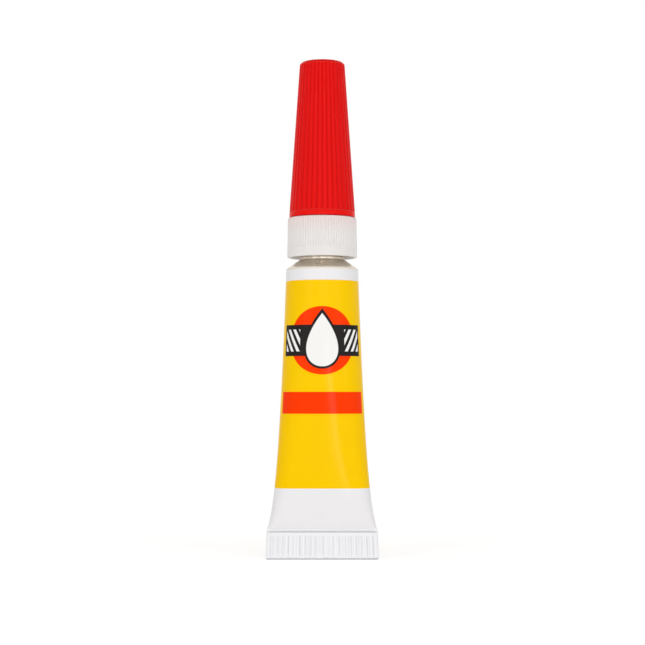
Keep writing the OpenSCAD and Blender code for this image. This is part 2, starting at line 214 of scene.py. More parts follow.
@dataclass(frozen=True)
class Skin:
    """Closed surface on a grid: rows of points that each run round in a ring."""

    points: np.ndarray
    winding: Winding
    uv: np.ndarray | None = None
    marks: dict[str, np.ndarray] | None = None

    def faces(self) -> tuple[list[tuple[int, ...]], np.ndarray]:
        """Join the grid into faces that look outwards.

        Neighbouring points make quads. Open rows end in one flat face each, and poles in a fan of
        triangles about the middle of the end row. The sum of the quads' signed volumes tells which
        way they look.

        Returns:
            All faces, and the points of each quad.
        """
        rows, columns = self.points.shape[:2]
        bands = rows if self.winding is Winding.LOOP else rows - 1
        row = np.arange(bands)[:, None]
        column = np.arange(columns)[None, :]
        ahead = (row + 1) % rows * columns
        beside = (column + 1) % columns
        quads = np.stack([row * columns + column, row * columns + beside, ahead + beside, ahead + column], -1)
        quads = quads.reshape(-1, 4)
        first = np.arange(columns)
        last = (rows - 1) * columns + first
        ends: list[tuple[int, ...]] = []
        if self.winding is Winding.OPEN:
            ends = [tuple(first[::-1].tolist()), tuple(last.tolist())]
        elif self.winding is Winding.POLES:
            pole = rows * columns
            ends = [(pole, int(b), int(a)) for a, b in zip(first, np.roll(first, -1))]
            ends += [(int(a), int(b), pole + 1) for a, b in zip(last, np.roll(last, -1))]
        flat = self.points.reshape(-1, 3)
        a, b, c, d = (flat[quads[:, k]] - flat.mean(axis=0) for k in range(4))
        volume = float(np.sum(a * np.cross(b, c)) + np.sum(a * np.cross(c, d)))
        if volume < 0.0:
            quads = quads[:, ::-1]
            ends = [tuple(reversed(face)) for face in ends]
        return [tuple(face) for face in quads.tolist()] + ends, quads

    def build(self, name: str, body: Body, slot: Slot, node: str, material: bpy.types.Material) -> None:
        """Make the surface a piece of the object.

        Args:
            name: Name of the piece.
            body: Body that it rides on.
            slot: Material slot of the record; not used.
            node: CAD node that it stands for.
            material: Its finish.
        """
        rows, columns = self.points.shape[:2]
        places = self.points.reshape(-1, 3)
        if self.winding is Winding.POLES:
            places = np.vstack([places, self.points[0].mean(axis=0), self.points[-1].mean(axis=0)])
        faces, quads = self.faces()
        mesh = bpy.data.meshes.new(name)
        mesh.from_pydata((places * MM).tolist(), [], faces)
        mesh.shade_smooth()
        mesh.set_sharp_from_angle(angle=SHARP_ANGLE)
        if self.uv is not None:
            self._lay_uv(mesh, quads, columns)
        for mark, values in (self.marks or {}).items():
            layer = mesh.attributes.new(mark, "FLOAT", "POINT")
            full = np.zeros(len(places))
            full[: rows * columns] = values.ravel()
            layer.data.foreach_set("value", full)
        mesh.update()
        mesh.materials.append(material)
        piece = bpy.data.objects.new(name, mesh)
        bpy.context.scene.collection.objects.link(piece)
        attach(piece, body.value)
        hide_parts(node)
        LOG.info("%s: %d faces on %s, for %s", name, len(faces), body.value, node)

    def _lay_uv(self, mesh: bpy.types.Mesh, quads: np.ndarray, columns: int) -> None:
        """Lay the texture places on the quads, running on to 1 where the ring closes.

        Args:
            mesh: Mesh of the piece.
            quads: Points of each quad.
            columns: Points in one ring.
        """
        places = self.uv.reshape(-1, 2)[quads]
        column = quads % columns
        closing = (column.max(axis=1) - column.min(axis=1) > 1)[:, None] & (column == 0)
        places[..., 0] = np.where(closing, 1.0, places[..., 0])
        layer = mesh.uv_layers.new(name="Sheet")
        flat = np.zeros((len(mesh.loops), 2))
        flat[: quads.size] = places.reshape(-1, 2)
        layer.data.foreach_set("uv", flat.ravel())


def turned(outline: Outline, angles: np.ndarray, out: np.ndarray | float = 0.0) -> np.ndarray:
    """Turn an outline round the axis: a point is ((r + out) cos a, (r + out) sin a, z).

    Args:
        outline: Radius and height of each point.
        angles: Angles round the axis.
        out: Added to the radius, for every point and angle.

    Returns:
        Points on a grid, one row per outline point.
    """
    radius = outline.points[:, :1] + out
    height = np.broadcast_to(outline.points[:, 1:], np.broadcast_shapes(radius.shape, (1, len(angles))))
    return np.stack([radius * np.cos(angles), radius * np.sin(angles), height], axis=-1)


def around(count: int) -> np.ndarray:
    """Angles of a number of columns spread evenly round the axis."""
    return np.arange(count) / count * FULL_TURN


class Shade:
    """One value in a node tree, used in arithmetic that adds Math nodes."""

    def __init__(self, paint: "Nodes", socket: bpy.types.NodeSocket) -> None:
        """Wrap an output socket of the tree."""
        self.paint = paint
        self.socket = socket

    def math(self, operation: str, *others: "Shade | float", first: "Shade | float | None" = None) -> "Shade":
        """Add a Math node.

        Args:
            operation: Name of the operation.
            others: Further operands.
            first: Operand that comes before this value, for the reflected forms.

        Returns:
            The node's result.
        """
        terms = (self, *others) if first is None else (first, self, *others)
        node = self.paint.node("ShaderNodeMath", {"operation": operation}, dict(enumerate(terms)))
        return Shade(self.paint, node.outputs[0])

    def __add__(self, other: "Shade | float") -> "Shade":
        """Sum of two values."""
        return self.math("ADD", other)

    __radd__ = __add__

    def __sub__(self, other: "Shade | float") -> "Shade":
        """Difference of two values."""
        return self.math("SUBTRACT", other)

    def __rsub__(self, other: float) -> "Shade":
        """A number less this value."""
        return self.math("SUBTRACT", first=other)

    def __mul__(self, other: "Shade | float") -> "Shade":
        """Product of two values."""
        return self.math("MULTIPLY", other)

    __rmul__ = __mul__

    def __truediv__(self, other: "Shade | float") -> "Shade":
        """Quotient of two values."""
        return self.math("DIVIDE", other)

    def __pow__(self, other: "Shade | float") -> "Shade":
        """This value raised to a power."""
        return self.math("POWER", other)

    def __abs__(self) -> "Shade":
        """Size of the value."""
        return self.math("ABSOLUTE")

    def __and__(self, other: "Shade") -> "Shade":
        """Smaller of two values: where both masks hold."""
        return self.math("MINIMUM", other)

    def __or__(self, other: "Shade") -> "Shade":
        """Greater of two values: where either mask holds."""
        return self.math("MAXIMUM", other)

    def held(self) -> "Shade":
        """This value held between 0 and 1."""
        node = self.paint.node("ShaderNodeClamp", {}, {"Value": self, "Min": 0.0, "Max": 1.0})
        return Shade(self.paint, node.outputs[0])

    def below(self, edge: "Shade | float", blur: float) -> "Shade":
        """Mask that is 1 where the value is below an edge, fading over the width of the blur."""
        return (0.5 - (self - edge) / blur).held()

    def above(self, edge: "Shade | float", blur: float) -> "Shade":
        """Mask that is 1 where the value is above an edge, fading over the width of the blur."""
        return ((self - edge) / blur + 0.5).held()

    def within(self, low: float, high: float, blur: float) -> "Shade":
        """Mask that is 1 between two edges, fading at each over the width of the blur."""
        return self.above(low, blur) & self.below(high, blur)


class Nodes:
    """A node tree under construction."""

    def __init__(self, tree: bpy.types.NodeTree) -> None:
        """Start with an empty tree."""
        self.tree = tree
        self.tree.nodes.clear()

    def node(
        self, kind: str, settings: dict[str, Any] | None = None, sockets: dict[int | str, Any] | None = None
    ) -> bpy.types.Node:
        """Add any node.

        Args:
            kind: Type of the node.
            settings: Values of its own properties, set first.
            sockets: Values or links of its inputs, by name or number.

        Returns:
            The node.
        """
        node = self.tree.nodes.new(kind)
        for key, value in (settings or {}).items():
            setattr(node, key, value)
        for key, value in (sockets or {}).items():
            if isinstance(value, Shade):
                value = value.socket
            if isinstance(value, bpy.types.NodeSocket):
                self.tree.links.new(value, node.inputs[key])
            elif isinstance(value, tuple) and len(value) == 3 and node.inputs[key].type == "RGBA":
                node.inputs[key].default_value = (*value, 1.0)
            else:
                node.inputs[key].default_value = value
        return node

    def place(self) -> bpy.types.NodeSocket:
        """Place on the piece in millimetres, as a vector."""
        coordinate = self.node("ShaderNodeTexCoord")
        sockets = {0: coordinate.outputs["Object"], "Scale": 1.0 / MM}
        return self.node("ShaderNodeVectorMath", {"operation": "SCALE"}, sockets).outputs["Vector"]

    def parts(self, vector: bpy.types.NodeSocket) -> tuple[Shade, Shade, Shade]:
        """Split a vector into its three parts."""
        split = self.node("ShaderNodeSeparateXYZ", {}, {0: vector})
        return tuple(Shade(self, out) for out in split.outputs)

    def stretched(self, vector: bpy.types.NodeSocket, *scale: float) -> bpy.types.NodeSocket:
        """Scale a vector on each axis through a Mapping node."""
        return self.node("ShaderNodeMapping", {}, {"Vector": vector, "Scale": scale}).outputs[0]

    def noise(self, vector: bpy.types.NodeSocket, cells: float, detail: float = 3.0) -> Shade:
        """Noise about 0.5 at a place in millimetres, with so many cells in each millimetre."""
        node = self.node("ShaderNodeTexNoise", {}, {"Vector": vector, "Scale": cells, "Detail": detail})
        return Shade(self, node.outputs[0])

    def seen(self) -> Shade:
        """1 for the camera and in reflections and clear pieces, 0 for the light that falls on a surface."""
        path = self.node("ShaderNodeLightPath")
        camera, glossy, through = (
            Shade(self, path.outputs[f"Is {kind} Ray"]) for kind in ("Camera", "Glossy", "Transmission")
        )
        return camera | glossy | through

    def mark(self, name: str) -> Shade:
        """Value of a piece's own attribute."""
        node = self.node("ShaderNodeAttribute", {"attribute_name": name})
        return Shade(self, node.outputs["Fac"])

    def blend(
        self, share: Shade, off: Colour | bpy.types.NodeSocket, full: Colour | bpy.types.NodeSocket
    ) -> bpy.types.NodeSocket:
        """Mix two colours: a share of 0 gives the first, and 1 the second."""
        node = self.node("ShaderNodeMix", {"data_type": "RGBA"}, {0: share, 6: off, 7: full})
        return node.outputs[2]

    def bump(self, height: Shade, depth: float) -> bpy.types.NodeSocket:
        """Normal bent by a small relief, whose height from 0 to 1 stands for a depth in millimetres."""
        sockets = {"Height": height, "Distance": depth * MM, "Strength": 1.0}
        return self.node("ShaderNodeBump", {}, sockets).outputs[0]


class Paint(Nodes):
    """A material under construction, with the nodes that its finish needs."""

    def __init__(self, name: str) -> None:
        """Start an empty material."""
        self.material = bpy.data.materials.new(name)
        self.material.use_nodes = True
        super().__init__(self.material.node_tree)

    def finish(self, **sockets: Any) -> bpy.types.Material:
        """Close the material with a Principled shader.

        Args:
            sockets: Inputs of the shader, with _ for a space in their names.

        Returns:
            The material.
        """
        named = {key.replace("_", " "): value for key, value in sockets.items()}
        shader = self.node("ShaderNodeBsdfPrincipled", {}, named)
        return self.close(shader)

    def close(self, shader: bpy.types.Node) -> bpy.types.Material:
        """Lead a shader to the material's surface."""
        self.node("ShaderNodeOutputMaterial", {}, {"Surface": shader.outputs[0]})
        return self.material


@dataclass(frozen=True)
class Finish:
    """What finishes share: roughness and how far it varies, gloss, and depth of the relief."""

    rough: float = 0.5
    rough_gain: float = 0.1
    gloss: float = 0.5
    relief: float = 0.004

    def coat(
        self, paint: Paint, colour: bpy.types.NodeSocket, grain: Shade, height: Shade, **sockets: Any
    ) -> bpy.types.Material:
        """Close a material with these values.

        Args:
            paint: Material in the making.
            colour: Its colour.
            grain: What its roughness varies with, 0 to 1.
            height: Its relief, 0 to 1.
            sockets: Further inputs of the shader.

        Returns:
            The material.
        """
        return paint.finish(
            Base_Color=colour,
            Roughness=self.rough + self.rough_gain * grain,
            Specular_IOR_Level=self.gloss,
            Normal=paint.bump(height, self.relief),
            **sockets,
        )


@dataclass(frozen=True)
class Emblem:
    """Generic print in the middle of the front: a drop on a dark band across a disc."""

    ink: Colour = srgb(38, 34, 34)
    white: Colour = srgb(244, 243, 240)
    orange: Colour = srgb(254, 58, 0)
    middle: float = 38.2
    disc_r: float = 5.9
    rim: float = 0.4
    band_half: float = 2.7
    band_reach: float = 7.6
    bar_pitch: float = 1.25
    bar_share: float = 0.5
    bar_lean: float = 0.55
    bars_from: float = 3.9
    bars_to: float = 7.2
    bars_half: float = 1.9
    drop_foot: float = 33.7
    drop_top: float = 42.9
    drop_half: float = 2.75
    blur: float = 0.07

    def drop(self, across: Shade, up: Shade, grow: float) -> Shade:
        """Mask of the drop: half width k sqrt(t) (1 - t) at the share t of the way from foot to point.

        Args:
            across: Distance from the middle of the front.
            up: Height.
            grow: How much larger the drop is drawn on every side.

        Returns:
            The mask.
        """
        foot = self.drop_foot - grow
        length = self.drop_top + 2.0 * grow - foot
        fullest = math.sqrt(1.0 / 3.0) * (2.0 / 3.0)
        share = ((up - foot) / length).held()
        half = share ** 0.5 * (1.0 - share) * ((self.drop_half + grow) / fullest)
        return (abs(across) - half).below(0.0, self.blur) & up.within(foot, foot + length, self.blur)

    def lay(
        self, paint: Paint, ground: bpy.types.NodeSocket, across: Shade, up: Shade
    ) -> bpy.types.NodeSocket:
        """Print the emblem over a ground colour.

        Args:
            paint: Material in the making.
            ground: Colour under the emblem.
            across: Distance from the middle of the front.
            up: Height.

        Returns:
            The printed colour.
        """
        side = abs(across)
        rise = up - self.middle
        reach = (across * across + rise * rise) ** 0.5
        colour = paint.blend(reach.below(self.disc_r, self.blur), ground, self.orange)
        band = abs(rise).below(self.band_half, self.blur) & side.below(self.band_reach, self.blur)
        colour = paint.blend(band, colour, self.ink)
        phase = (side - rise * self.bar_lean) / self.bar_pitch
        bar = phase.math("FRACT").below(self.bar_share, self.blur / self.bar_pitch)
        bar = bar & side.within(self.bars_from, self.bars_to, self.blur)
        colour = paint.blend(bar & abs(rise).below(self.bars_half, self.blur), colour, self.white)
        colour = paint.blend(self.drop(across, up, self.rim), colour, self.ink)
        return paint.blend(self.drop(across, up, 0.0), colour, self.white)


@dataclass(frozen=True)
class PrintedEnamel(Finish):
    """Gloss white enamel with a yellow field, an orange stripe, the emblem, a bare upper edge and a painted
    highlight just above the fold.
    """

    rough: float = 0.09
    rough_gain: float = 0.03
    gloss: float = 0.045
    white: Colour = srgb(238, 237, 239)
    worn: Colour = srgb(234, 233, 235)
    # Painted highlight: a lighter white for the band where the wall meets the fold.
    crease_highlight: Colour = srgb(250, 250, 252)
    yellow: Colour = srgb(251, 200, 0)
    bright_yellow: Colour = srgb(254, 205, 1)
    orange: Colour = srgb(255, 58, 0)
    bare: Colour = srgb(232, 223, 208)
    bare_edge: float = 0.2
    crease_foot: float = 4.86
    crease_top: float = 5.3
    field_foot: float = 12.5
    field_top: float = 48.66
    stripe_foot: float = 25.5
    stripe_top: float = 29.3
    stripe_half: float = 7.95
    blur: float = 0.06
    crease_blur: float = 0.12
    cloud_cells: float = 0.35
    drawn_cells: float = 9.0
    drawn_stretch: float = 0.06
    drawn_share: float = 0.4
    peel_cells: float = 2.2
    emblem: Emblem = Emblem()

    def dress(self, girth: float, height: float) -> bpy.types.Material:
        """Make the finish of the printed wall.

        Args:
            girth: Distance round the wall, which the texture places span across.
            height: Height that they span upwards.

        Returns:
            The material.
        """
        paint = Paint("printed_enamel")
        sheet = paint.node("ShaderNodeUVMap", {"uv_map": "Sheet"}).outputs[0]
        share, rise, _ = paint.parts(sheet)
        across = (share - 0.5) * girth
        up = rise * height
        place = paint.place()
        field = up.within(self.field_foot, self.field_top, self.blur)
        cloud = paint.noise(place, self.cloud_cells)
        white = paint.blend(cloud, self.worn, self.white)
        # Painted highlight along the wall's foot just above the fold.
        crease_highlight = up.within(self.crease_foot, self.crease_top, self.crease_blur)
        white = paint.blend(crease_highlight, white, self.crease_highlight)
        yellow = paint.blend(cloud, self.yellow, self.bright_yellow)
        colour = paint.blend(field, white, yellow)
        stripe = up.within(self.stripe_foot, self.stripe_top, self.blur)
        stripe = stripe & abs(across).below(self.stripe_half, self.blur)
        colour = paint.blend(stripe, colour, self.orange)
        colour = self.emblem.lay(paint, colour, across, up)
        colour = paint.blend(up.above(height - self.bare_edge, self.blur), colour, self.bare)
        upright = paint.stretched(place, 1.0, 1.0, self.drawn_stretch)
        drawn = paint.noise(upright, self.drawn_cells, detail=2.0)
        peel = paint.noise(place, self.peel_cells, detail=2.0)
        return self.coat(paint, colour, cloud, drawn * self.drawn_share + peel)


@dataclass(frozen=True)
class CrimpedEnamel(Finish):
    """White enamel over the pressed tail, with painted shade in the grooves and along the side bands, along
    the bottom of the fold and under the lip.
    """

    rough: float = 0.3
    rough_gain: float = 0.12
    gloss: float = 0.15
    relief: float = 0.006
    white: Colour = srgb(240, 240, 243)
    # Painted shade: grey for the grooves and the lines along the side bands.
    groove: Colour = srgb(221, 221, 224)
    groove_least: float = 0.6
    groove_gain: float = 0.6
    # Painted shade: darker grey along the bottom of the fold and under the lap's upper edge.
    edge_shade: Colour = srgb(186, 186, 188)
    edge_top: float = 0.3
    edge_wander: float = 0.3
    edge_blur: float = 0.14
    edge_least: float = 0.6
    edge_gain: float = 0.4
    grain_cells: float = 3.0
    wave_cells: float = 1.6
    wave_stretch: float = 0.2

    def dress(self) -> bpy.types.Material:
        """Make the finish of the crimped tail."""
        paint = Paint("crimped_enamel")
        place = paint.place()
        _, _, z = paint.parts(place)
        grain = paint.noise(place, self.grain_cells)
        wave = paint.noise(paint.stretched(place, 1.0, self.wave_stretch, self.wave_stretch), self.wave_cells)
        # Painted shade in the grooves and side lines, then along the bottom of the fold and under the lip,
        # each stronger or weaker at random.
        sunk = (paint.mark("groove") * (self.groove_least + self.groove_gain * grain)).held()
        rim = z.below(self.edge_top + self.edge_wander * (wave - 0.5), self.edge_blur)
        rim = rim * (self.edge_least + self.edge_gain * grain)
        colour = paint.blend(sunk, self.white, self.groove)
        colour = paint.blend((rim | paint.mark("lip")).held(), colour, self.edge_shade)
        return self.coat(paint, colour, grain, grain)


@dataclass(frozen=True)
class BareMetal(Finish):
    """Bare aluminium with the fine rings of its drawing and trimming."""

    rough: float = 0.2
    relief: float = 0.001
    metallic: float = 0.72
    light: Colour = srgb(232, 223, 210)
    dull: Colour = srgb(212, 201, 184)
    ring: float = 0.11
    ring_climb: float = 0.5
    ring_share: float = 0.7
    wander_cells: float = 1.4
    wander_turn: float = 3.0
    stain_cells: float = 0.7

    def dress(self) -> bpy.types.Material:
        """Make the finish of the shoulder, the neck and the membrane."""
        paint = Paint("bare_aluminium_turned")
        place = paint.place()
        x, y, z = paint.parts(place)
        reach = (x * x + y * y) ** 0.5
        wander = paint.noise(place, self.wander_cells)
        phase = (reach - z * self.ring_climb) * (FULL_TURN / self.ring) + wander * self.wander_turn
        rings = phase.math("SINE") * 0.5 + 0.5
        stain = paint.noise(place, self.stain_cells, detail=4.0)
        colour = paint.blend(stain, self.dull, self.light)
        height = rings * self.ring_share + wander * (1.0 - self.ring_share)
        return self.coat(paint, colour, stain, height, Metallic=self.metallic)


@dataclass(frozen=True)
class NozzlePlastic(Finish):
    """Natural polyethylene: milky, a little waxy, with painted red light from the cap where it seats."""

    rough: float = 0.36
    rough_gain: float = 0.14
    gloss: float = 0.16
    relief: float = 0.001
    milk: Colour = srgb(233, 231, 229)
    warm: Colour = srgb(229, 225, 222)
    # Painted red light from the cap, strongest at the top of its band.
    cap_light: Colour = srgb(233, 210, 207)
    cap_light_foot: float = 56.8
    cap_light_top: float = 60.0
    cap_light_fade: float = 1.0
    cap_light_least: float = 0.45
    cap_light_gain: float = 0.5
    cloud_cells: float = 0.5
    grain_cells: float = 6.0
    under: float = 0.5
    under_depth: float = 0.8
    under_reach: Colour = (1.0, 0.95, 0.9)

    def dress(self) -> bpy.types.Material:
        """Make the finish of the collar and the spout."""
        paint = Paint("natural_polyethylene")
        place = paint.place()
        _, _, z = paint.parts(place)
        cloud = paint.noise(place, self.cloud_cells)
        grain = paint.noise(place, self.grain_cells, detail=2.0)
        # Painted red light from the cap, growing towards the top where the cap seats.
        seat = z.within(self.cap_light_foot, self.cap_light_top + self.cap_light_fade, self.cap_light_fade)
        climb = ((z - self.cap_light_foot) / (self.cap_light_top - self.cap_light_foot)).held()
        cap_light = climb * seat * (self.cap_light_least + self.cap_light_gain * cloud)
        colour = paint.blend(cap_light, paint.blend(cloud, self.warm, self.milk), self.cap_light)
        return self.coat(
            paint,
            colour,
            grain,
            grain,
            Subsurface_Weight=self.under,
            Subsurface_Radius=self.under_reach,
            Subsurface_Scale=self.under_depth * MM,
        )


@dataclass(frozen=True)
class CapPlastic(Finish):
    """Red moulded plastic, with painted shade in the grooves and on the bevel and a painted highlight along
    its two edges.
    """

    rough: float = 0.24
    gloss: float = 0.06
    red: Colour = srgb(230, 12, 9)
    bright: Colour = srgb(238, 18, 14)
    # Painted shade: darker red for the grooves.
    deep: Colour = srgb(204, 4, 4)
    # Painted shade: darker red for the bevel.
    bevel_shade: Colour = srgb(168, 3, 3)
    # Painted highlight: light red for the lines along the ribbed stretch's two edges.
    shine: Colour = srgb(248, 92, 76)
    flow_cells: float = 0.6
    flow_stretch: float = 0.25
    grain_cells: float = 7.0
    grain_share: float = 0.5
    groove_share: float = 0.75

    def dress(self) -> bpy.types.Material:
        """Make the finish of the cap."""
        paint = Paint("moulded_red")
        place = paint.place()
        flow = paint.noise(paint.stretched(place, 1.0, 1.0, self.flow_stretch), self.flow_cells)
        grain = paint.noise(place, self.grain_cells, detail=2.0)
        red = paint.blend(flow, self.red, self.bright)
        # Painted shade in the grooves and on the bevel, then the painted highlight along the edges.
        red = paint.blend(paint.mark("groove") ** 0.5 * self.groove_share, red, self.deep)
        red = paint.blend(paint.mark("bevel"), red, self.bevel_shade)
        red = paint.blend(paint.mark("shine"), red, self.shine)
        return self.coat(paint, red, grain, grain * self.grain_share + flow * (1.0 - self.grain_share))


@dataclass(frozen=True)
class DrawnSteel(Finish):
    """Bright wire with lines along its length."""

    rough: float = 0.2
    rough_gain: float = 0.15
    line_cells: float = 12.0
    line_stretch: float = 0.03
    light: Colour = srgb(222, 224, 228)
    dark: Colour = srgb(168, 172, 178)

    def dress(self) -> bpy.types.Material:
        """Make the finish of the pin."""
        paint = Paint("drawn_steel")
        lines = paint.noise(paint.stretched(paint.place(), 1.0, 1.0, self.line_stretch), self.line_cells)
        return self.coat(paint, paint.blend(lines, self.dark, self.light), lines, lines, Metallic=1.0)


@dataclass(frozen=True)
class SealingCompound(Finish):
    """Dull rubbery compound with small pores."""

    rough: float = 0.65
    rough_gain: float = 0.2
    relief: float = 0.02
    pore_cells: float = 2.5
    pale: Colour = srgb(226, 208, 168)
    dark: Colour = srgb(196, 174, 130)

    def dress(self) -> bpy.types.Material:
        """Make the finish of the strip between the pressed walls."""
        paint = Paint("latex_compound")
        pores = paint.noise(paint.place(), self.pore_cells, detail=5.0)
        return self.coat(paint, paint.blend(pores, self.dark, self.pale), pores, pores)


@dataclass(frozen=True)
class ClearGlue:
    """Thin clear liquid with a faint cloudiness."""

    clear: Colour = srgb(246, 249, 250)
    cloudy: Colour = srgb(232, 240, 244)
    cloud_cells: float = 0.2
    rough: float = 0.03
    bend: float = 1.45
    through: float = 0.9

    def dress(self) -> bpy.types.Material:
        """Make the finish of the glue."""
        paint = Paint("clear_glue")
        cloud = paint.noise(paint.place(), self.cloud_cells)
        return paint.finish(
            Base_Color=paint.blend(cloud, self.clear, self.cloudy),
            Roughness=self.rough + self.rough * cloud,
            IOR=self.bend,
            Transmission_Weight=self.through,
        )


@dataclass
class TubeWall:
    """Thin drawn wall, round at the shoulder and pressed flat at the tail, and the glue inside it."""

    thick: float = 0.12
    flat: float = 0.6
    swell_power: float = 0.41
    swell_soft: float = 0.066
    ring_power: float = 1.8
    set_back: float = 0.255
    return_power: float = 3.0
    soft: float = 0.3
    edge_round: float = 0.5
    edge_drop: float = 0.19
    columns: int = 256
    rows: int = 120
    inner_rows: int = 40
    bent_rows: int = 8
    glue_gap: float = 0.1
    glue_columns: int = 96
    glue_rows: int = 48
    glue_foot_share: float = 0.5
    meniscus: float = 0.5
    meniscus_rows: int = 12
    meniscus_eye: float = 0.05

    def __post_init__(self) -> None:
        """Take the wall's place from the frame."""
        self.span = Span.of("tube_wall")
        self.radius = float(self.span.high[1])
        self.girth = FULL_TURN * self.radius
        self.lean = math.asin(self.edge_drop / self.edge_round)

    def share(self, height: np.ndarray) -> np.ndarray:
        """Share of the way from the fold up to the shoulder, 0 to 1."""
        return np.clip((height - self.span.foot) / (self.span.top - self.span.foot), 0.0, 1.0)

    def half_thick(self, height: np.ndarray) -> np.ndarray:
        """Half thickness of the wall at a height.

        With t the share of the way from the fold up to the shoulder, s a small softness and p the power
        of the swell, it grows from half the flat thickness f to the round radius R as
        f + (R - f) t ((t + s) / (1 + s))^(p - 1).

        Args:
            height: Heights.

        Returns:
            Half thickness at each height.
        """
        share = self.share(height)
        soft = (share + self.swell_soft) / (1.0 + self.swell_soft)
        return self.flat / 2.0 + (self.radius - self.flat / 2.0) * share * soft ** (self.swell_power - 1.0)

    def rings(self, height: np.ndarray, inset: float, columns: int) -> np.ndarray:
        """Rings round the flattened tube.

        A ring keeps the girth of the round end: two half circles of radius r, the half thickness, joined
        by flats of half length a = pi (R - r) / 2. Points lie at equal distances along it, starting at
        the middle of the back, so that one column is one line drawn up the sheet. The joints of flats
        and half circles are softened by a Gaussian blur along the ring, and the ring is then stretched
        back to its width and thickness. Its middle stands behind the axis by b (1 - t)^q, because the
        crimp with its lap closes on the axis.

        Args:
            height: Height of each ring.
            inset: Distance in from the outer face.
            columns: Points in a ring.

        Returns:
            Points on a grid, one row per ring.
        """
        outer = self.half_thick(height)[:, None]
        flat = math.pi * (self.radius - outer) / 2.0
        radius = outer - inset
        arc = math.pi * radius
        length = 2.0 * arc + 4.0 * flat
        along = np.arange(columns)[None, :] / columns * length
        left = flat
        front = left + arc
        right = front + 2.0 * flat
        back = right + arc
        turn_left = (along - left) / radius
        turn_right = (along - right) / radius
        stretches = [along < left, along < front, along < right, along < back]
        depth = radius + 0.0 * along
        x_legs = [
            -along,
            -flat - radius * np.sin(turn_left),
            -flat + (along - front),
            flat + radius * np.sin(turn_right),
        ]
        y_legs = [depth, radius * np.cos(turn_left), -depth, -radius * np.cos(turn_right)]
        x = np.select(stretches, x_legs, flat - (along - back))
        y = np.select(stretches, y_legs, depth)
        wave = np.fft.fftfreq(columns, 1.0 / columns)[None, :]
        blur = np.exp(-0.5 * (FULL_TURN * wave * self.soft * radius / length) ** 2)
        ring = np.fft.ifft(np.fft.fft(x + 1j * y, axis=1) * blur, axis=1)
        wide = (radius + flat) / np.abs(ring.real).max(axis=1, keepdims=True)
        deep = radius / np.abs(ring.imag).max(axis=1, keepdims=True)
        middle = (self.set_back * (1.0 - self.share(height)) ** self.return_power)[:, None]
        level = np.broadcast_to(height[:, None], x.shape)
        return np.stack([ring.real * wide, ring.imag * deep + middle, level], axis=-1)

    def levels(self, low: float, high: float, rows: int) -> np.ndarray:
        """Heights from low to high, closer together near the tail where the wall turns fastest."""
        return low + (high - low) * np.linspace(0.0, 1.0, rows) ** self.ring_power

    def build_wall(self) -> None:
        """Make the wall: up its outer face and down its inner one.

        The last stretch below the shoulder bends in on the edge's round, by R - sqrt(R^2 - h^2) at the
        height h above its start.
        """
        edge = self.span.top - self.edge_drop
        bent = np.linspace(edge, self.span.top, self.bent_rows)
        up = np.concatenate([self.levels(self.span.foot, edge, self.rows)[:-1], bent])
        down = self.levels(self.span.foot, self.span.top, self.inner_rows)[::-1]
        outer = self.rings(up, 0.0, self.columns)
        inward = self.edge_round - np.sqrt(self.edge_round ** 2 - np.maximum(up - edge, 0.0) ** 2)
        outer[..., :2] *= (1.0 - inward / self.radius)[:, None, None]
        points = np.concatenate([outer, self.rings(down, self.thick, self.columns)])
        share = np.broadcast_to(np.arange(self.columns) / self.columns, points.shape[:2])
        uv = np.stack([share, points[..., 2] / self.span.top], axis=-1)
        enamel = PrintedEnamel().dress(self.girth, self.span.top)
        Skin(points, Winding.LOOP, uv).build("wall_printed", Body.TUBE, Slot.PRINT, "tube_wall", enamel)

    def build_glue(self) -> None:
        """Make the glue: the wall's own rings a little inside it, closed by a level top with a meniscus."""
        span = Span.of("adhesive")
        levels = self.levels(span.foot, span.top, self.glue_rows)
        sides = self.rings(levels, self.thick + self.glue_gap, self.glue_columns)
        shrink = np.linspace(1.0, self.meniscus_eye, self.meniscus_rows)[1:, None, None]
        low, high = sides[0].mean(axis=0), sides[-1].mean(axis=0)
        top = high + (sides[-1] - high) * shrink
        top[..., 2] = span.top - self.meniscus * ease(1.0 - shrink[..., 0])
        foot = (low + (sides[0] - low) * self.glue_foot_share)[None]
        points = np.concatenate([foot, sides, top])
        glue = ClearGlue().dress()
        Skin(points, Winding.POLES).build("glue_fill", Body.TUBE, Slot.GLUE, "adhesive", glue)


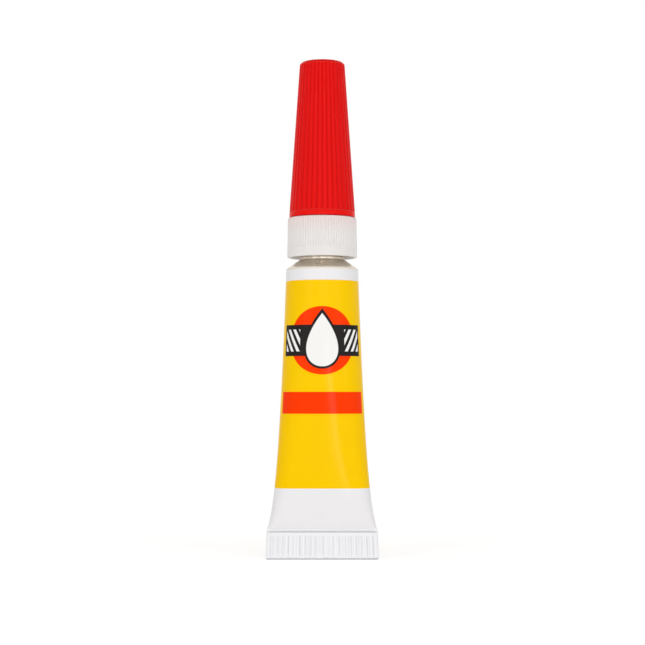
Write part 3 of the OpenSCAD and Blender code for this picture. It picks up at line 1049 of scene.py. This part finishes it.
@dataclass
class TailFold:
    """Flattened tail, as thick at its top as the wall's flat foot, folded up once and crimped with ribs."""

    flat: float
    pressed: float = 0.55
    lap: float = 0.45
    slit: float = 0.06
    slot: float = 0.16
    slot_foot: float = 1.0
    slot_margin: float = 0.05
    slot_round: float = 0.01
    edge_round: float = 0.02
    fold_round: float = 0.25
    bend_round: float = 0.3
    lip_round: float = 0.14
    smooth_top: float = 0.62
    smooth_foot: float = 0.5
    ribs: int = 20
    rib_depth: float = 0.06
    rib_width: float = 0.08
    rib_foot_fade: float = 0.25
    rib_top_over: float = 0.05
    rib_top_fade: float = 0.2
    rib_side_fade: float = 3.0
    sub_depth: float = 0.05
    sub_width: float = 0.05
    sub_lines: int = 60
    sub_range: tuple[float, float] = (0.6, 1.1)
    uneven: float = 0.35
    drift: float = 0.13
    ripple: float = 0.25
    ripple_top: float = 0.4
    side_band: float = 0.75
    side_thin: float = 0.3
    side_line: float = 0.09
    side_line_foot: float = 0.2
    side_line_fade: float = 0.3
    side_line_tone: float = 0.5
    lip: float = 0.2
    lip_fade: float = 0.16
    lip_tone: float = 0.5
    lip_side_loss: float = 0.8
    taper: float = 0.145
    taper_foot: float = 1.2
    corner: float = 0.12
    columns: int = 690
    step: float = 0.45
    bends: int = 5
    seed: int = 5

    def __post_init__(self) -> None:
        """Take the fold's place from the frame."""
        self.span = Span.of("tail_fold")

    def profile(self) -> Outline:
        """Side view of the fold: pressed walls behind with the sealant's slot, lap in front, slit between."""
        top = self.span.top
        bend = top - self.smooth_top
        back = self.pressed / 2.0
        spread = (self.flat - self.pressed) / 2.0
        inner = -back - self.slit
        front = inner - self.lap
        pit = 2.0 * self.fold_round
        slot = self.slot / 2.0
        corners = [
            Corner(back + spread, top, self.edge_round),
            Corner(slot, top, self.slot_round),
            Corner(slot, self.slot_foot, self.slot_round),
            Corner(-slot, self.slot_foot, self.slot_round),
            Corner(-slot, top, self.slot_round),
            Corner(-back - spread, top, self.edge_round),
            Corner(-back, bend, self.bend_round),
            Corner(-back, pit, self.edge_round),
            Corner(inner, pit, self.edge_round),
            Corner(inner, bend, self.bend_round),
            Corner(inner - spread, top, self.lip_round, name="lip"),
            Corner(front - spread, top, self.lip_round),
            Corner(front, bend, self.bend_round, name="lap_bend"),
            Corner(front, 0.0, self.fold_round),
            Corner(back, 0.0, self.fold_round),
            Corner(back, bend, self.bend_round),
        ]
        return Outline.through(corners, closed=True, step=self.step, bends=self.bends)

    def build(self) -> None:
        """Carry the side profile across the tail.

        The outer faces sink into the grooves between the ribs. The tail narrows softly to its top and
        at its bottom corners, and thins over the band along each side as k + (1 - k) sqrt(1 - s^2), with
        s the share of the way across the band.
        """
        outline = self.profile()
        share = np.linspace(-1.0, 1.0, self.columns + 1)[:, None]
        y, z = outline.points[:, 0][None, :], outline.points[:, 1][None, :]
        top = self.span.top
        wide = self.span.half_width - self.taper * ease((z - self.taper_foot) / (top - self.taper_foot))
        wide = wide - self.corner * ease((2.0 * self.corner - z) / (2.0 * self.corner))
        x = share * wide
        inward = wide - np.abs(x)
        side = np.clip(1.0 - inward / self.side_band, 0.0, 1.0)
        thin = self.side_thin + (1.0 - self.side_thin) * np.sqrt(1.0 - side ** 2)
        rib_top = top - self.smooth_top + self.rib_top_over
        run = ease((z - self.smooth_foot) / self.rib_foot_fade) * ease((rib_top - z) / self.rib_top_fade)
        ribbed = run * (1.0 - ease(side * self.rib_side_fade))
        outside = np.where(y < y.min() + self.lap, 1.0, np.where(y > self.pressed / 4.0, -1.0, 0.0))
        in_slot = (np.abs(y) < self.slot) & (z > self.slot_foot - self.slot_margin)
        outside = np.where(in_slot, 0.0, outside)
        groove = self.grooves(share * self.span.half_width)
        middle = (y.min() + y.max()) / 2.0
        sunk = y + outside * groove * ribbed
        ripple = self.ripple * groove * ease((self.ripple_top - z) / self.ripple_top) * (1.0 - side)
        points = np.stack([x, (sunk - middle) * thin, z + ripple], axis=-1)
        # Painted shade: a dark line where each side band begins, added to the grooves' mark.
        line = np.exp(-(((inward - self.side_band) / self.side_line) ** 2))
        line = line * ease((z - self.side_line_foot) / self.side_line_fade)
        pressed = np.clip(groove / self.rib_depth, 0.0, 1.0) * ribbed
        # Painted shade under the lap's upper edge, weaker towards the sides.
        edge_shade = outline.between("lip", "lap_bend") & (outline.points[:, 1] > top - self.lip)
        lip = self.lip_tone * ease((z - top + self.lip) / self.lip_fade) * edge_shade
        marks = {
            "groove": (pressed + self.side_line_tone * line) * np.abs(outside),
            "lip": lip * (1.0 - self.lip_side_loss * side),
        }
        skin = Skin(points, Winding.OPEN, None, marks)
        skin.build("tail_crimp", Body.TUBE, Slot.ENAMEL, "tail_fold", CrimpedEnamel().dress())

    def grooves(self, across: np.ndarray) -> np.ndarray:
        """Depth of the pressed grooves at places across the tail.

        Each groove is d exp(-((x - c) / w)^2). One main groove lies between two ribs, moved and deepened
        by small chances, and finer lines are strewn among them.

        Args:
            across: Distances from the middle of the tail.

        Returns:
            The depth at each place.
        """
        dice = np.random.default_rng(self.seed)
        half = self.span.half_width
        pitch = 2.0 * half / self.ribs
        mains = self.ribs - 1
        centre = -half + pitch * (np.arange(1, self.ribs) + self.drift * dice.uniform(-1.0, 1.0, mains))
        depth = self.rib_depth * (1.0 + self.uneven * dice.uniform(-1.0, 1.0, mains))
        strewn = np.arange(self.sub_lines) + dice.uniform(0.0, 1.0, self.sub_lines)
        fine = (2.0 * strewn / self.sub_lines - 1.0) * half
        fine_depth = self.sub_depth * dice.uniform(*self.sub_range, self.sub_lines)
        centre = np.concatenate([centre, fine])
        depth = np.concatenate([depth, fine_depth])
        width = np.repeat([self.rib_width, self.sub_width], [mains, self.sub_lines])
        return (depth * np.exp(-(((across - centre) / width) ** 2))).sum(axis=1, keepdims=True)


@dataclass
class Screw:
    """Screw thread shared by the neck and the collar."""

    lead: float = 1.25
    depth: float = 0.4
    clear: float = 0.1
    root_w: float = 0.6
    crest_w: float = 0.3
    start: float = 53.265
    fade: float = 0.3

    def ridge(
        self, height: np.ndarray, angles: np.ndarray, shift: float, low: float, high: float
    ) -> np.ndarray:
        """Share of the ridge's height on a grid of heights and angles.

        The distance to the nearest turn is (z - start - shift) / lead - a / 2 pi, wrapped to half a turn
        each way. The ridge is a trapezium across it and fades at both ends of the thread.

        Args:
            height: Heights, as a column.
            angles: Angles, as a row.
            shift: Height by which this thread is moved up.
            low: Height where it starts.
            high: Height where it ends.

        Returns:
            The share, 0 at the root and 1 at the crest.
        """
        turn = (height - self.start - shift) / self.lead - angles / FULL_TURN
        apart = np.abs(turn - np.rint(turn)) * self.lead
        flank = (self.root_w - self.crest_w) / 2.0
        rise = np.clip((self.root_w / 2.0 - apart) / flank, 0.0, 1.0)
        run = ease((height - low) / self.fade) * ease((high - height) / self.fade)
        return rise * run


@dataclass
class Shoulder:
    """Bare metal cone with its rounded edge, the threaded neck and the membrane's finish."""

    slope_deg: float = 34.0
    width: float = 2.35
    thick: float = 0.6
    neck_len: float = 3.95
    ring: float = 0.45
    neck_wall: float = 1.0
    thread_rise: float = 0.1
    thread_drop: float = 0.15
    columns: int = 216
    step: float = 0.09

    def build(self, screw: Screw, tube_r: float, edge_round: float, lean: float) -> None:
        """Turn the shoulder's section round the axis, with the thread standing out of the neck.

        The wall below leans in by an angle b where the shoulder takes over, on the edge's own round. The
        section goes on at that lean until it meets the cone, and is rounded there with the same radius.

        Args:
            screw: The thread.
            tube_r: Radius of the tube's round end.
            edge_round: Radius of the edge between wall and cone.
            lean: Lean b of the wall where the shoulder takes over, in radians.
        """
        span = Span.of("tube_shoulder")
        slope = math.tan(math.radians(self.slope_deg))
        neck_r = tube_r - self.width
        root_r = neck_r - screw.depth
        bore_r = root_r - self.neck_wall
        neck_foot = span.top - self.neck_len
        edge = neck_foot - (tube_r - neck_r) * slope
        ring_top = neck_foot + self.ring
        inside = neck_foot - self.thick
        foot_r = tube_r - edge_round * (1.0 - math.cos(lean))
        gain = (edge - span.foot + (tube_r - foot_r) * slope) / (math.cos(lean) - math.sin(lean) * slope)
        meeting = (foot_r - gain * math.sin(lean), span.foot + gain * math.cos(lean))
        bend = math.pi / 2.0 - lean - math.atan(slope)
        corners = [
            Corner(neck_r + (inside - span.foot) / slope, span.foot, setback=0.05),
            Corner(foot_r, span.foot, setback=0.01),
            Corner(*meeting, edge_round * math.tan(bend / 2.0)),
            Corner(neck_r, neck_foot, setback=0.1),
            Corner(neck_r, ring_top, setback=0.06),
            Corner(root_r, ring_top, setback=0.04, name="thread_foot"),
            Corner(root_r, span.top, setback=0.12, name="thread_top"),
            Corner(bore_r, span.top, setback=0.06),
            Corner(bore_r, inside + (neck_r - bore_r) * slope, setback=0.1),
        ]
        outline = Outline.through(corners, closed=True, step=self.step)
        angles = around(self.columns)
        low, high = ring_top + self.thread_rise, span.top - self.thread_drop
        thread = screw.ridge(outline.points[:, 1:], angles, 0.0, low, high)
        thread = thread * outline.between("thread_foot", "thread_top")[:, None]
        points = turned(outline, angles, thread * screw.depth)
        metal = BareMetal().dress()
        Skin(points, Winding.LOOP).build("shoulder_neck", Body.TUBE, Slot.METAL, "tube_shoulder", metal)
        coat_node("seal_membrane", metal)


@dataclass
class Nozzle:
    """Collar with fine ribs outside and the thread inside, and the tapered spout that it holds."""

    draft: float = 0.125
    edge_round: float = 0.3
    plate: float = 1.0
    land: float = 0.25
    bevel: float = 0.7
    ribs: int = 80
    per_rib: int = 6
    rib_depth: float = 0.15
    rib_foot_fade: float = 0.25
    rib_top_drop: float = 0.12
    rib_top_fade: float = 0.3
    band: float = 1.6
    pierce: float = 1.25
    flange: float = 1.0
    lip: float = 0.75
    run: float = 0.05
    seat: float = 6.2
    tip_r: float = 1.25
    tip_len: float = 3.0
    channel_r: float = 0.6
    spike_r: float = 0.85
    spike_play: float = 0.5
    spike_len: float = 1.15
    cap_gap: float = 0.1
    seam: float = 0.015
    seam_width: float = 0.03
    # Height from which the spout gets the painted red light from the cap.
    spout_cap_light: float = 58.9
    columns: int = 160
    collar_step: float = 0.12
    spout_step: float = 0.35

    def build_collar(self, screw: Screw, neck_r: float, neck_ring: float) -> None:
        """Turn the collar's section round the axis, with ribs outside and the thread in the bore.

        Between the smooth band and the top edge the radius falls by the rib depth times
        (1 - cos(n a)) / 2, for n ribs.

        Args:
            screw: The thread.
            neck_r: Radius of the neck over its thread.
            neck_ring: Height of the top of the plain ring at the neck's root.
        """
        span = Span.of("nozzle_collar")
        outer = span.half_width
        top_r = outer - self.draft
        bore_r = neck_r + screw.clear
        throat_r = bore_r + screw.depth
        spout_r = self.spout_r(screw, neck_r)
        female_low = neck_ring + self.pierce + screw.root_w / 2.0 + screw.clear
        plate_foot = span.top - self.plate
        corners = [
            Corner(spout_r + self.run, plate_foot, setback=0.05),
            Corner(bore_r, plate_foot, setback=0.1, name="bore_top"),
            Corner(bore_r, female_low - screw.root_w, setback=0.08, name="bore_foot"),
            Corner(throat_r, female_low - screw.root_w, setback=0.08),
            Corner(throat_r, span.foot + self.bevel, setback=0.08),
            Corner(outer - self.edge_round - self.land, span.foot, setback=0.08),
            Corner(outer, span.foot, self.edge_round, name="side_foot"),
            Corner(top_r, span.top, self.edge_round),
            Corner(spout_r + self.run, span.top, setback=0.08, name="throat"),
        ]
        outline = Outline.through(corners, closed=True, step=self.collar_step)
        angles = around(self.ribs * self.per_rib)
        height = outline.points[:, 1:]
        run = ease((height - span.foot - self.band) / self.rib_foot_fade)
        run = run * ease((span.top - self.rib_top_drop - height) / self.rib_top_fade)
        run = run * outline.between("side_foot", "throat")[:, None]
        wave = 0.5 - 0.5 * np.cos(self.ribs * angles)
        high = plate_foot - self.flange - screw.clear
        thread = screw.ridge(height, angles, screw.lead / 2.0, female_low - screw.root_w / 2.0, high)
        thread = thread * outline.between("bore_top", "bore_foot")[:, None]
        points = turned(outline, angles, -self.rib_depth * run * wave - screw.depth * thread)
        plastic = NozzlePlastic().dress()
        Skin(points, Winding.LOOP).build("collar_ribbed", Body.COLLAR, Slot.NOZZLE, "nozzle_collar", plastic)

    def spout_r(self, screw: Screw, neck_r: float) -> float:
        """Radius of the spout where it passes through the collar's plate."""
        return neck_r - screw.depth + screw.clear - self.run - self.lip

    def build_spout(self, screw: Screw, neck_r: float, neck_wall: float) -> None:
        """Turn the spout's section round the axis: spike, flange, straight seat, taper, tip and channel.

        Args:
            screw: The thread.
            neck_r: Radius of the neck over its thread.
            neck_wall: Thickness of the neck under its thread.
        """
        span = Span.of("nozzle_spout")
        cap_foot = Span.of("nozzle_collar").top + self.cap_gap
        spout_r = self.spout_r(screw, neck_r)
        flange_r = spout_r + self.lip
        flange_foot = span.foot + self.spike_len
        bore_r = neck_r - screw.depth - neck_wall
        corners = [
            Corner(self.channel_r, span.foot, setback=0.03),
            Corner(self.spike_r, span.foot, setback=0.06),
            Corner(bore_r - self.spike_play, flange_foot, setback=0.1),
            Corner(flange_r, flange_foot, setback=0.08),
            Corner(flange_r, flange_foot + self.flange, setback=0.08),
            Corner(spout_r, flange_foot + self.flange, setback=0.05, name="seat_foot"),
            Corner(spout_r, cap_foot + self.seat, setback=0.8),
            Corner(self.tip_r, span.top - self.tip_len, setback=0.6),
            Corner(self.tip_r, span.top, setback=0.16, name="tip"),
            Corner(self.channel_r, span.top, setback=0.1),
        ]
        outline = Outline.through(corners, closed=True, step=self.spout_step)
        angles = around(self.columns)
        seam = self.seam * np.exp(-((np.sin(angles) / self.seam_width) ** 2))
        points = turned(outline, angles, seam * outline.between("seat_foot", "tip")[:, None])
        plastic = NozzlePlastic(cap_light_foot=self.spout_cap_light).dress()
        Skin(points, Winding.LOOP).build("spout_tapered", Body.SPOUT, Slot.NOZZLE, "nozzle_spout", plastic)


@dataclass
class Cap:
    """Long tapered cap with rounded ribs, a smooth foot ring, a bevelled top and the pin inside.

    It takes the lengths of its seat and of the tip from the spout.
    """

    seat: float
    tip_len: float
    top_r: float = 3.98
    ring: float = 0.9
    bevel: float = 0.4
    ribs: int = 36
    per_rib: int = 10
    rib_depth: float = 0.14
    rib_end: float = 0.42
    rib_shape: float = 2.2
    rib_foot_rise: float = 0.14
    rib_foot_fade: float = 0.16
    rib_top_drop: float = 0.06
    rib_top_share: float = 0.5
    rib_top_fade: float = 0.12
    rib_top_cut: float = 0.8
    rib_rows: int = 48
    rib_end_rows: int = 22
    step_fade: float = 0.06
    step_under: float = 0.02
    shell: float = 1.1
    sleeve: float = 0.8
    sleeve_inset: float = 0.45
    pocket: float = 12.0
    roof: float = 1.4
    socket_r: float = 2.95
    room_r: float = 1.95
    taper_gap: float = 0.7
    tip_gap: float = 0.8
    pin_hole_r: float = 0.48
    pin_hold: float = 0.9
    gate_r: float = 0.7
    gate_depth: float = 0.12
    edge_line: float = 0.055
    edge_shine: float = 0.45
    bevel_fade: float = 0.1
    eye: float = 0.05
    step: float = 0.8
    bends: int = 4
    pin_blunt: float = 0.15
    pin_eye: float = 0.02
    pin_columns: int = 48
    pin_step: float = 0.3

    def __post_init__(self) -> None:
        """Take the cap's place from the frame."""
        self.span = Span.of("cap")

    def outline(self) -> Outline:
        """Half section of the cap, from the pin's hole down the inside, round the foot and up the outside."""
        foot, top, wide = self.span.foot, self.span.top, self.span.half_width
        bevel_foot = top - self.bevel
        lean = (wide - self.top_r) / (bevel_foot - foot - self.ring)
        roof = top - self.roof
        land = roof - self.tip_gap - self.tip_len
        taper_foot = foot + self.seat + self.taper_gap
        pocket_top = foot + self.pocket
        slim = (self.socket_r - self.room_r) / (land - taper_foot)
        sleeve_r = self.socket_r + self.sleeve
        pocket_in = sleeve_r - slim * (pocket_top - taper_foot)
        pocket_out = wide - lean * (pocket_top - foot - self.ring) - self.shell
        corners = [
            Corner(self.eye, roof + self.pin_hold),
            Corner(self.pin_hole_r, roof + self.pin_hold, setback=0.05),
            Corner(self.pin_hole_r, roof, setback=0.08),
            Corner(self.room_r, roof, setback=0.3),
            Corner(self.room_r, land, setback=0.5),
            Corner(self.socket_r, taper_foot, setback=0.5),
            Corner(self.socket_r, foot + self.sleeve_inset, setback=0.12),
            Corner(sleeve_r, foot + self.sleeve_inset, setback=0.12),
            Corner(sleeve_r, taper_foot, setback=0.5),
            Corner(pocket_in, pocket_top, setback=0.12),
            Corner(pocket_out, pocket_top, setback=0.12),
            Corner(wide + lean * self.ring - self.shell, foot, setback=0.1),
            Corner(wide, foot, setback=0.1, name="foot"),
            Corner(wide, foot + self.ring, setback=0.05, name="rib_foot"),
            Corner(self.top_r, bevel_foot, setback=0.1, name="bevel_foot"),
            Corner(self.top_r - self.bevel, top, setback=0.12, name="bevel_top"),
            Corner(self.gate_r + self.gate_depth, top, setback=0.05),
            Corner(self.gate_r, top - self.gate_depth, setback=0.05),
            Corner(self.eye, top - self.gate_depth),
        ]
        coarse = Outline.through(corners, closed=False, step=self.step, bends=self.bends)
        return self.with_rib_ends(coarse, foot + self.ring, bevel_foot)

    def with_rib_ends(self, outline: Outline, low: float, high: float) -> Outline:
        """Add close rows of points where the ribs begin and end.

        Args:
            outline: Half section of the cap.
            low: Height of the ribs' foot.
            high: Height of their top.

        Returns:
            The half section with more points on the ribbed stretch.
        """
        flank = np.flatnonzero(outline.between("rib_foot", "bevel_foot"))
        first, last = flank[0], flank[-1] + 1
        start, end = outline.points[first], outline.points[last]
        fine = np.linspace(0.0, 1.0, self.rib_end_rows) * 2.0 * self.rib_end
        middle = np.linspace(low + fine[-1], high - fine[-1], self.rib_rows)[1:-1]
        height = np.concatenate([low + fine, middle, high - fine[::-1]])
        height = height[(height > start[1]) & (height < end[1])]
        share = ((height - start[1]) / (end[1] - start[1]))[:, None]
        rows = start + (end - start) * share
        points = np.concatenate([outline.points[: first + 1], rows, outline.points[last:]])
        rib_leg = np.full(len(rows), outline.names["rib_foot"])
        leg = np.concatenate([outline.leg[: first + 1], rib_leg, outline.leg[last:]])
        return Outline(points, leg, outline.names)

    def build(self) -> None:
        """Turn the half section round the axis and press the grooves between the ribs into it.

        Across a rib, u runs from -1 to 1 and the surface falls by the rib depth times |u|^p. At both
        ends the rib is cut by the half ellipse that leaves sqrt(1 - u^2) of the end length.
        """
        outline = self.outline()
        foot, top = self.span.foot + self.ring, self.span.top - self.bevel
        across = np.tile(np.sin(np.linspace(-0.5, 0.5, self.per_rib + 1)[:-1] * math.pi), self.ribs)
        rib = np.repeat(np.arange(self.ribs), self.per_rib)
        angles = (rib + (across + 1.0) / 2.0) / self.ribs * FULL_TURN - math.pi / 2.0
        height = outline.points[:, 1:]
        tip = self.rib_end * (1.0 - np.sqrt(1.0 - across ** 2))
        lower = ease((foot + self.rib_foot_rise + tip - height) / self.rib_foot_fade)
        rib_top = top - self.rib_top_drop - self.rib_top_share * tip
        upper = self.rib_top_cut * ease((height - rib_top) / self.rib_top_fade)
        groove = np.maximum(np.abs(across) ** self.rib_shape, np.maximum(lower, upper))
        groove = groove * ease((height - foot + self.step_under) / self.step_fade)
        groove = groove * ease((top - height) / self.step_fade)
        groove = groove * outline.between("foot", "bevel_top")[:, None]
        points = turned(outline, angles, -self.rib_depth * groove)
        # Painted highlight: thin light lines just above the ribs' foot and just below the bevel.
        low_line, high_line = foot + self.edge_line, top - 2.0 * self.edge_line
        near = np.minimum(np.abs(height - low_line), np.abs(height - high_line))
        shine = self.edge_shine * np.exp(-((near / self.edge_line) ** 2))
        shine = shine * outline.between("rib_foot", "bevel_foot")[:, None]
        # Painted shade on the bevel.
        bevel = ease((height - top) / self.bevel_fade) * outline.between("bevel_foot", "bevel_top")[:, None]
        # The groove mark shapes the grooves and also steers their painted shade.
        marks = {
            "groove": groove,
            "shine": np.broadcast_to(shine, groove.shape),
            "bevel": np.broadcast_to(bevel, groove.shape),
        }
        skin = Skin(points, Winding.POLES, None, marks)
        skin.build("cap_ribbed", Body.CAP, Slot.CAP, "cap", CapPlastic().dress())

    def build_pin(self) -> None:
        """Turn the pin: a straight wire with a tapered, blunted point."""
        span = Span.of("cap_pin")
        radius = span.half_width
        corners = [
            Corner(self.pin_eye, span.foot),
            Corner(self.pin_blunt, span.foot, setback=0.06),
            Corner(radius, span.foot + 2.0 * radius, setback=0.2),
            Corner(radius, span.top, setback=0.08),
            Corner(self.pin_eye, span.top),
        ]
        outline = Outline.through(corners, closed=False, step=self.pin_step)
        points = turned(outline, around(self.pin_columns))
        steel = DrawnSteel().dress()
        Skin(points, Winding.POLES).build("pin_drawn", Body.PIN, Slot.STEEL, "cap_pin", steel)


def coat_node(node: str, material: bpy.types.Material) -> None:
    """Give a CAD node that stays in view a finish.

    Args:
        node: Name of the node.
        material: Its finish.
    """
    for solid in np.atleast_1d(np.array(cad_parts[node], dtype=object)):
        solid.data.materials.clear()
        solid.data.materials.append(material)
    LOG.info("%s: CAD node dressed in %s", node, material.name)


@dataclass(frozen=True)
class Lamp:
    """Soft rectangular lamp that looks at the middle of the tube."""

    name: str
    place: tuple[float, float, float]
    size: tuple[float, float]
    watts: float


@dataclass
class Studio:
    """White floor, white surroundings, soft lamps and the camera."""

    lens: float = 92.0
    sensor: float = 36.0
    distance: float = 290.0
    eye: float = 29.2
    aim: float = 41.5
    shift_right: float = 0.05
    near: float = 10.0
    far: float = 20000.0
    floor_half: float = 3000.0
    floor_dim: Colour = srgb(246, 246, 246)
    floor_bright: Colour = srgb(250, 250, 250)
    floor_cells: float = 0.05
    fill: float = 0.58
    floor_drop: float = 0.02
    floor_glow: float = 0.215
    far_glow: float = 0.1
    glow_reach: float = 120.0
    table_glow: float = 0.15
    strip_glow: float = 8.5
    strip_rise: float = 0.2
    strip: tuple[tuple[float, float, float], ...] = (
        (4.0, 6.0, -20.0),
        (3.8, 6.6, -36.0),
        (3.4, 8.0, -57.0),
        (3.6, 9.0, -80.0),
        (4.2, 12.0, -96.0),
        (14.0, 38.0, -203.0),
        (5.0, 80.0, -395.0),
    )
    lamps: tuple[Lamp, ...] = (
        Lamp("key", (40.0, -640.0, 150.0), (300.0, 420.0), 0.78),
        Lamp("left", (-380.0, -480.0, 130.0), (280.0, 500.0), 0.66),
        Lamp("right", (390.0, -480.0, 130.0), (280.0, 500.0), 0.64),
    )

    def build(self) -> None:
        """Set up the surroundings."""
        bpy.context.scene.view_settings.view_transform = "Standard"
        self.build_floor()
        self.build_strip()
        self.build_world()
        for lamp in self.lamps:
            self.build_lamp(lamp)
        self.build_camera()

    def build_floor(self) -> None:
        """Lay a white floor that takes the tube's shadow and reads as white where it is lit.

        Its glow for the eye and in reflections is g + f d / (d + r), at a distance d from the tube,
        because the lamps light it less further away.
        """
        half, low = self.floor_half * MM, -self.floor_drop * MM
        corners = [(-half, -half, low), (half, -half, low), (half, half, low), (-half, half, low)]
        paint = Paint("floor_white")
        place = paint.place()
        x, y, _ = paint.parts(place)
        away = (x * x + y * y) ** 0.5
        tone = paint.blend(paint.noise(place, self.floor_cells), self.floor_dim, self.floor_bright)
        matt = paint.node("ShaderNodeBsdfDiffuse", {}, {"Color": tone})
        far = self.far_glow * away / (away + self.glow_reach)
        level = paint.seen() * (self.floor_glow + far) + self.table_glow
        glow = paint.node("ShaderNodeEmission", {}, {"Color": WHITE, "Strength": level})
        both = paint.node("ShaderNodeAddShader", {}, {0: matt.outputs[0], 1: glow.outputs[0]})
        self.stand("floor", corners, [(0, 1, 2, 3)], paint.close(both))

    def build_strip(self) -> None:
        """Lay a bright strip in front, which draws the soft line of light down the tube.

        It lies a little above the floor, and its rows are its left edge, its right edge and their y.
        """
        rise = self.strip_rise * MM
        corners = [(x * MM, y * MM, rise) for left, right, y in self.strip for x in (left, right)]
        faces = [(low + 2, low + 3, low + 1, low) for low in range(0, len(corners) - 2, 2)]
        paint = Paint("strip_light")
        glow = paint.node("ShaderNodeEmission", {}, {"Color": WHITE, "Strength": self.strip_glow})
        strip = self.stand("strip", corners, faces, paint.close(glow))
        strip.visible_camera = strip.visible_diffuse = strip.visible_shadow = False

    def stand(
        self,
        name: str,
        corners: Sequence[tuple[float, float, float]],
        faces: Sequence[tuple[int, ...]],
        material: bpy.types.Material,
    ) -> bpy.types.Object:
        """Make a mesh of the surroundings, which is no piece of the object.

        Args:
            name: Its name.
            corners: Its corners, in metres.
            faces: Numbers of the corners of each face.
            material: Its material.

        Returns:
            The new object.
        """
        mesh = bpy.data.meshes.new(name)
        mesh.from_pydata(corners, [], faces)
        mesh.materials.append(material)
        thing = bpy.data.objects.new(name, mesh)
        bpy.context.scene.collection.objects.link(thing)
        return thing

    def build_world(self) -> None:
        """Surround the tube with white that lights it gently and is full white to the eye and in gloss."""
        world = bpy.data.worlds.new("white_room")
        world.use_nodes = True
        sky = Nodes(world.node_tree)
        level = sky.seen() * (1.0 - self.fill) + self.fill
        light = sky.node("ShaderNodeBackground", {}, {"Color": WHITE, "Strength": level})
        sky.node("ShaderNodeOutputWorld", {}, {"Surface": light.outputs[0]})
        bpy.context.scene.world = world

    def build_lamp(self, lamp: Lamp) -> None:
        """Hang one soft lamp that looks at the middle of the tube.

        Args:
            lamp: The lamp.
        """
        data = bpy.data.lights.new(lamp.name, "AREA")
        data.shape = "RECTANGLE"
        data.size, data.size_y = lamp.size[0] * MM, lamp.size[1] * MM
        data.energy = lamp.watts
        holder = bpy.data.objects.new(lamp.name, data)
        x, y, z = lamp.place
        rise = z - self.aim
        flat = math.hypot(x, y)
        holder.location = (x * MM, y * MM, z * MM)
        holder.rotation_euler = (math.atan2(flat, rise), 0.0, math.atan2(x, -y))
        bpy.context.scene.collection.objects.link(holder)

    def build_camera(self) -> None:
        """Place the camera low in front of the tube, tilted a little upwards."""
        data = bpy.data.cameras.new("camera")
        data.lens = self.lens
        data.sensor_width = self.sensor
        data.clip_start, data.clip_end = self.near * MM, self.far * MM
        camera = bpy.data.objects.new("camera", data)
        tilt = math.atan2(self.aim - self.eye, self.distance)
        camera.location = (self.shift_right * MM, -self.distance * MM, self.eye * MM)
        camera.rotation_euler = (math.pi / 2.0 + tilt, 0.0, 0.0)
        bpy.context.scene.collection.objects.link(camera)
        bpy.context.scene.camera = camera


def main() -> None:
    """Build the tube, its nozzle and its cap, and set them in the studio."""
    logging.basicConfig(level=logging.INFO, format="%(name)s: %(message)s")
    Studio().build()
    wall = TubeWall()
    wall.build_wall()
    wall.build_glue()
    TailFold(wall.flat).build()
    coat_node("fold_sealant", SealingCompound().dress())
    screw = Screw()
    shoulder = Shoulder()
    shoulder.build(screw, wall.radius, wall.edge_round, wall.lean)
    neck_r = wall.radius - shoulder.width
    neck_ring = Span.of("tube_shoulder").top - shoulder.neck_len + shoulder.ring
    nozzle = Nozzle()
    nozzle.build_collar(screw, neck_r, neck_ring)
    nozzle.build_spout(screw, neck_r, shoulder.neck_wall)
    cap = Cap(nozzle.seat, nozzle.tip_len)
    cap.build()
    cap.build_pin()


if __name__ == "__main__":
    main()
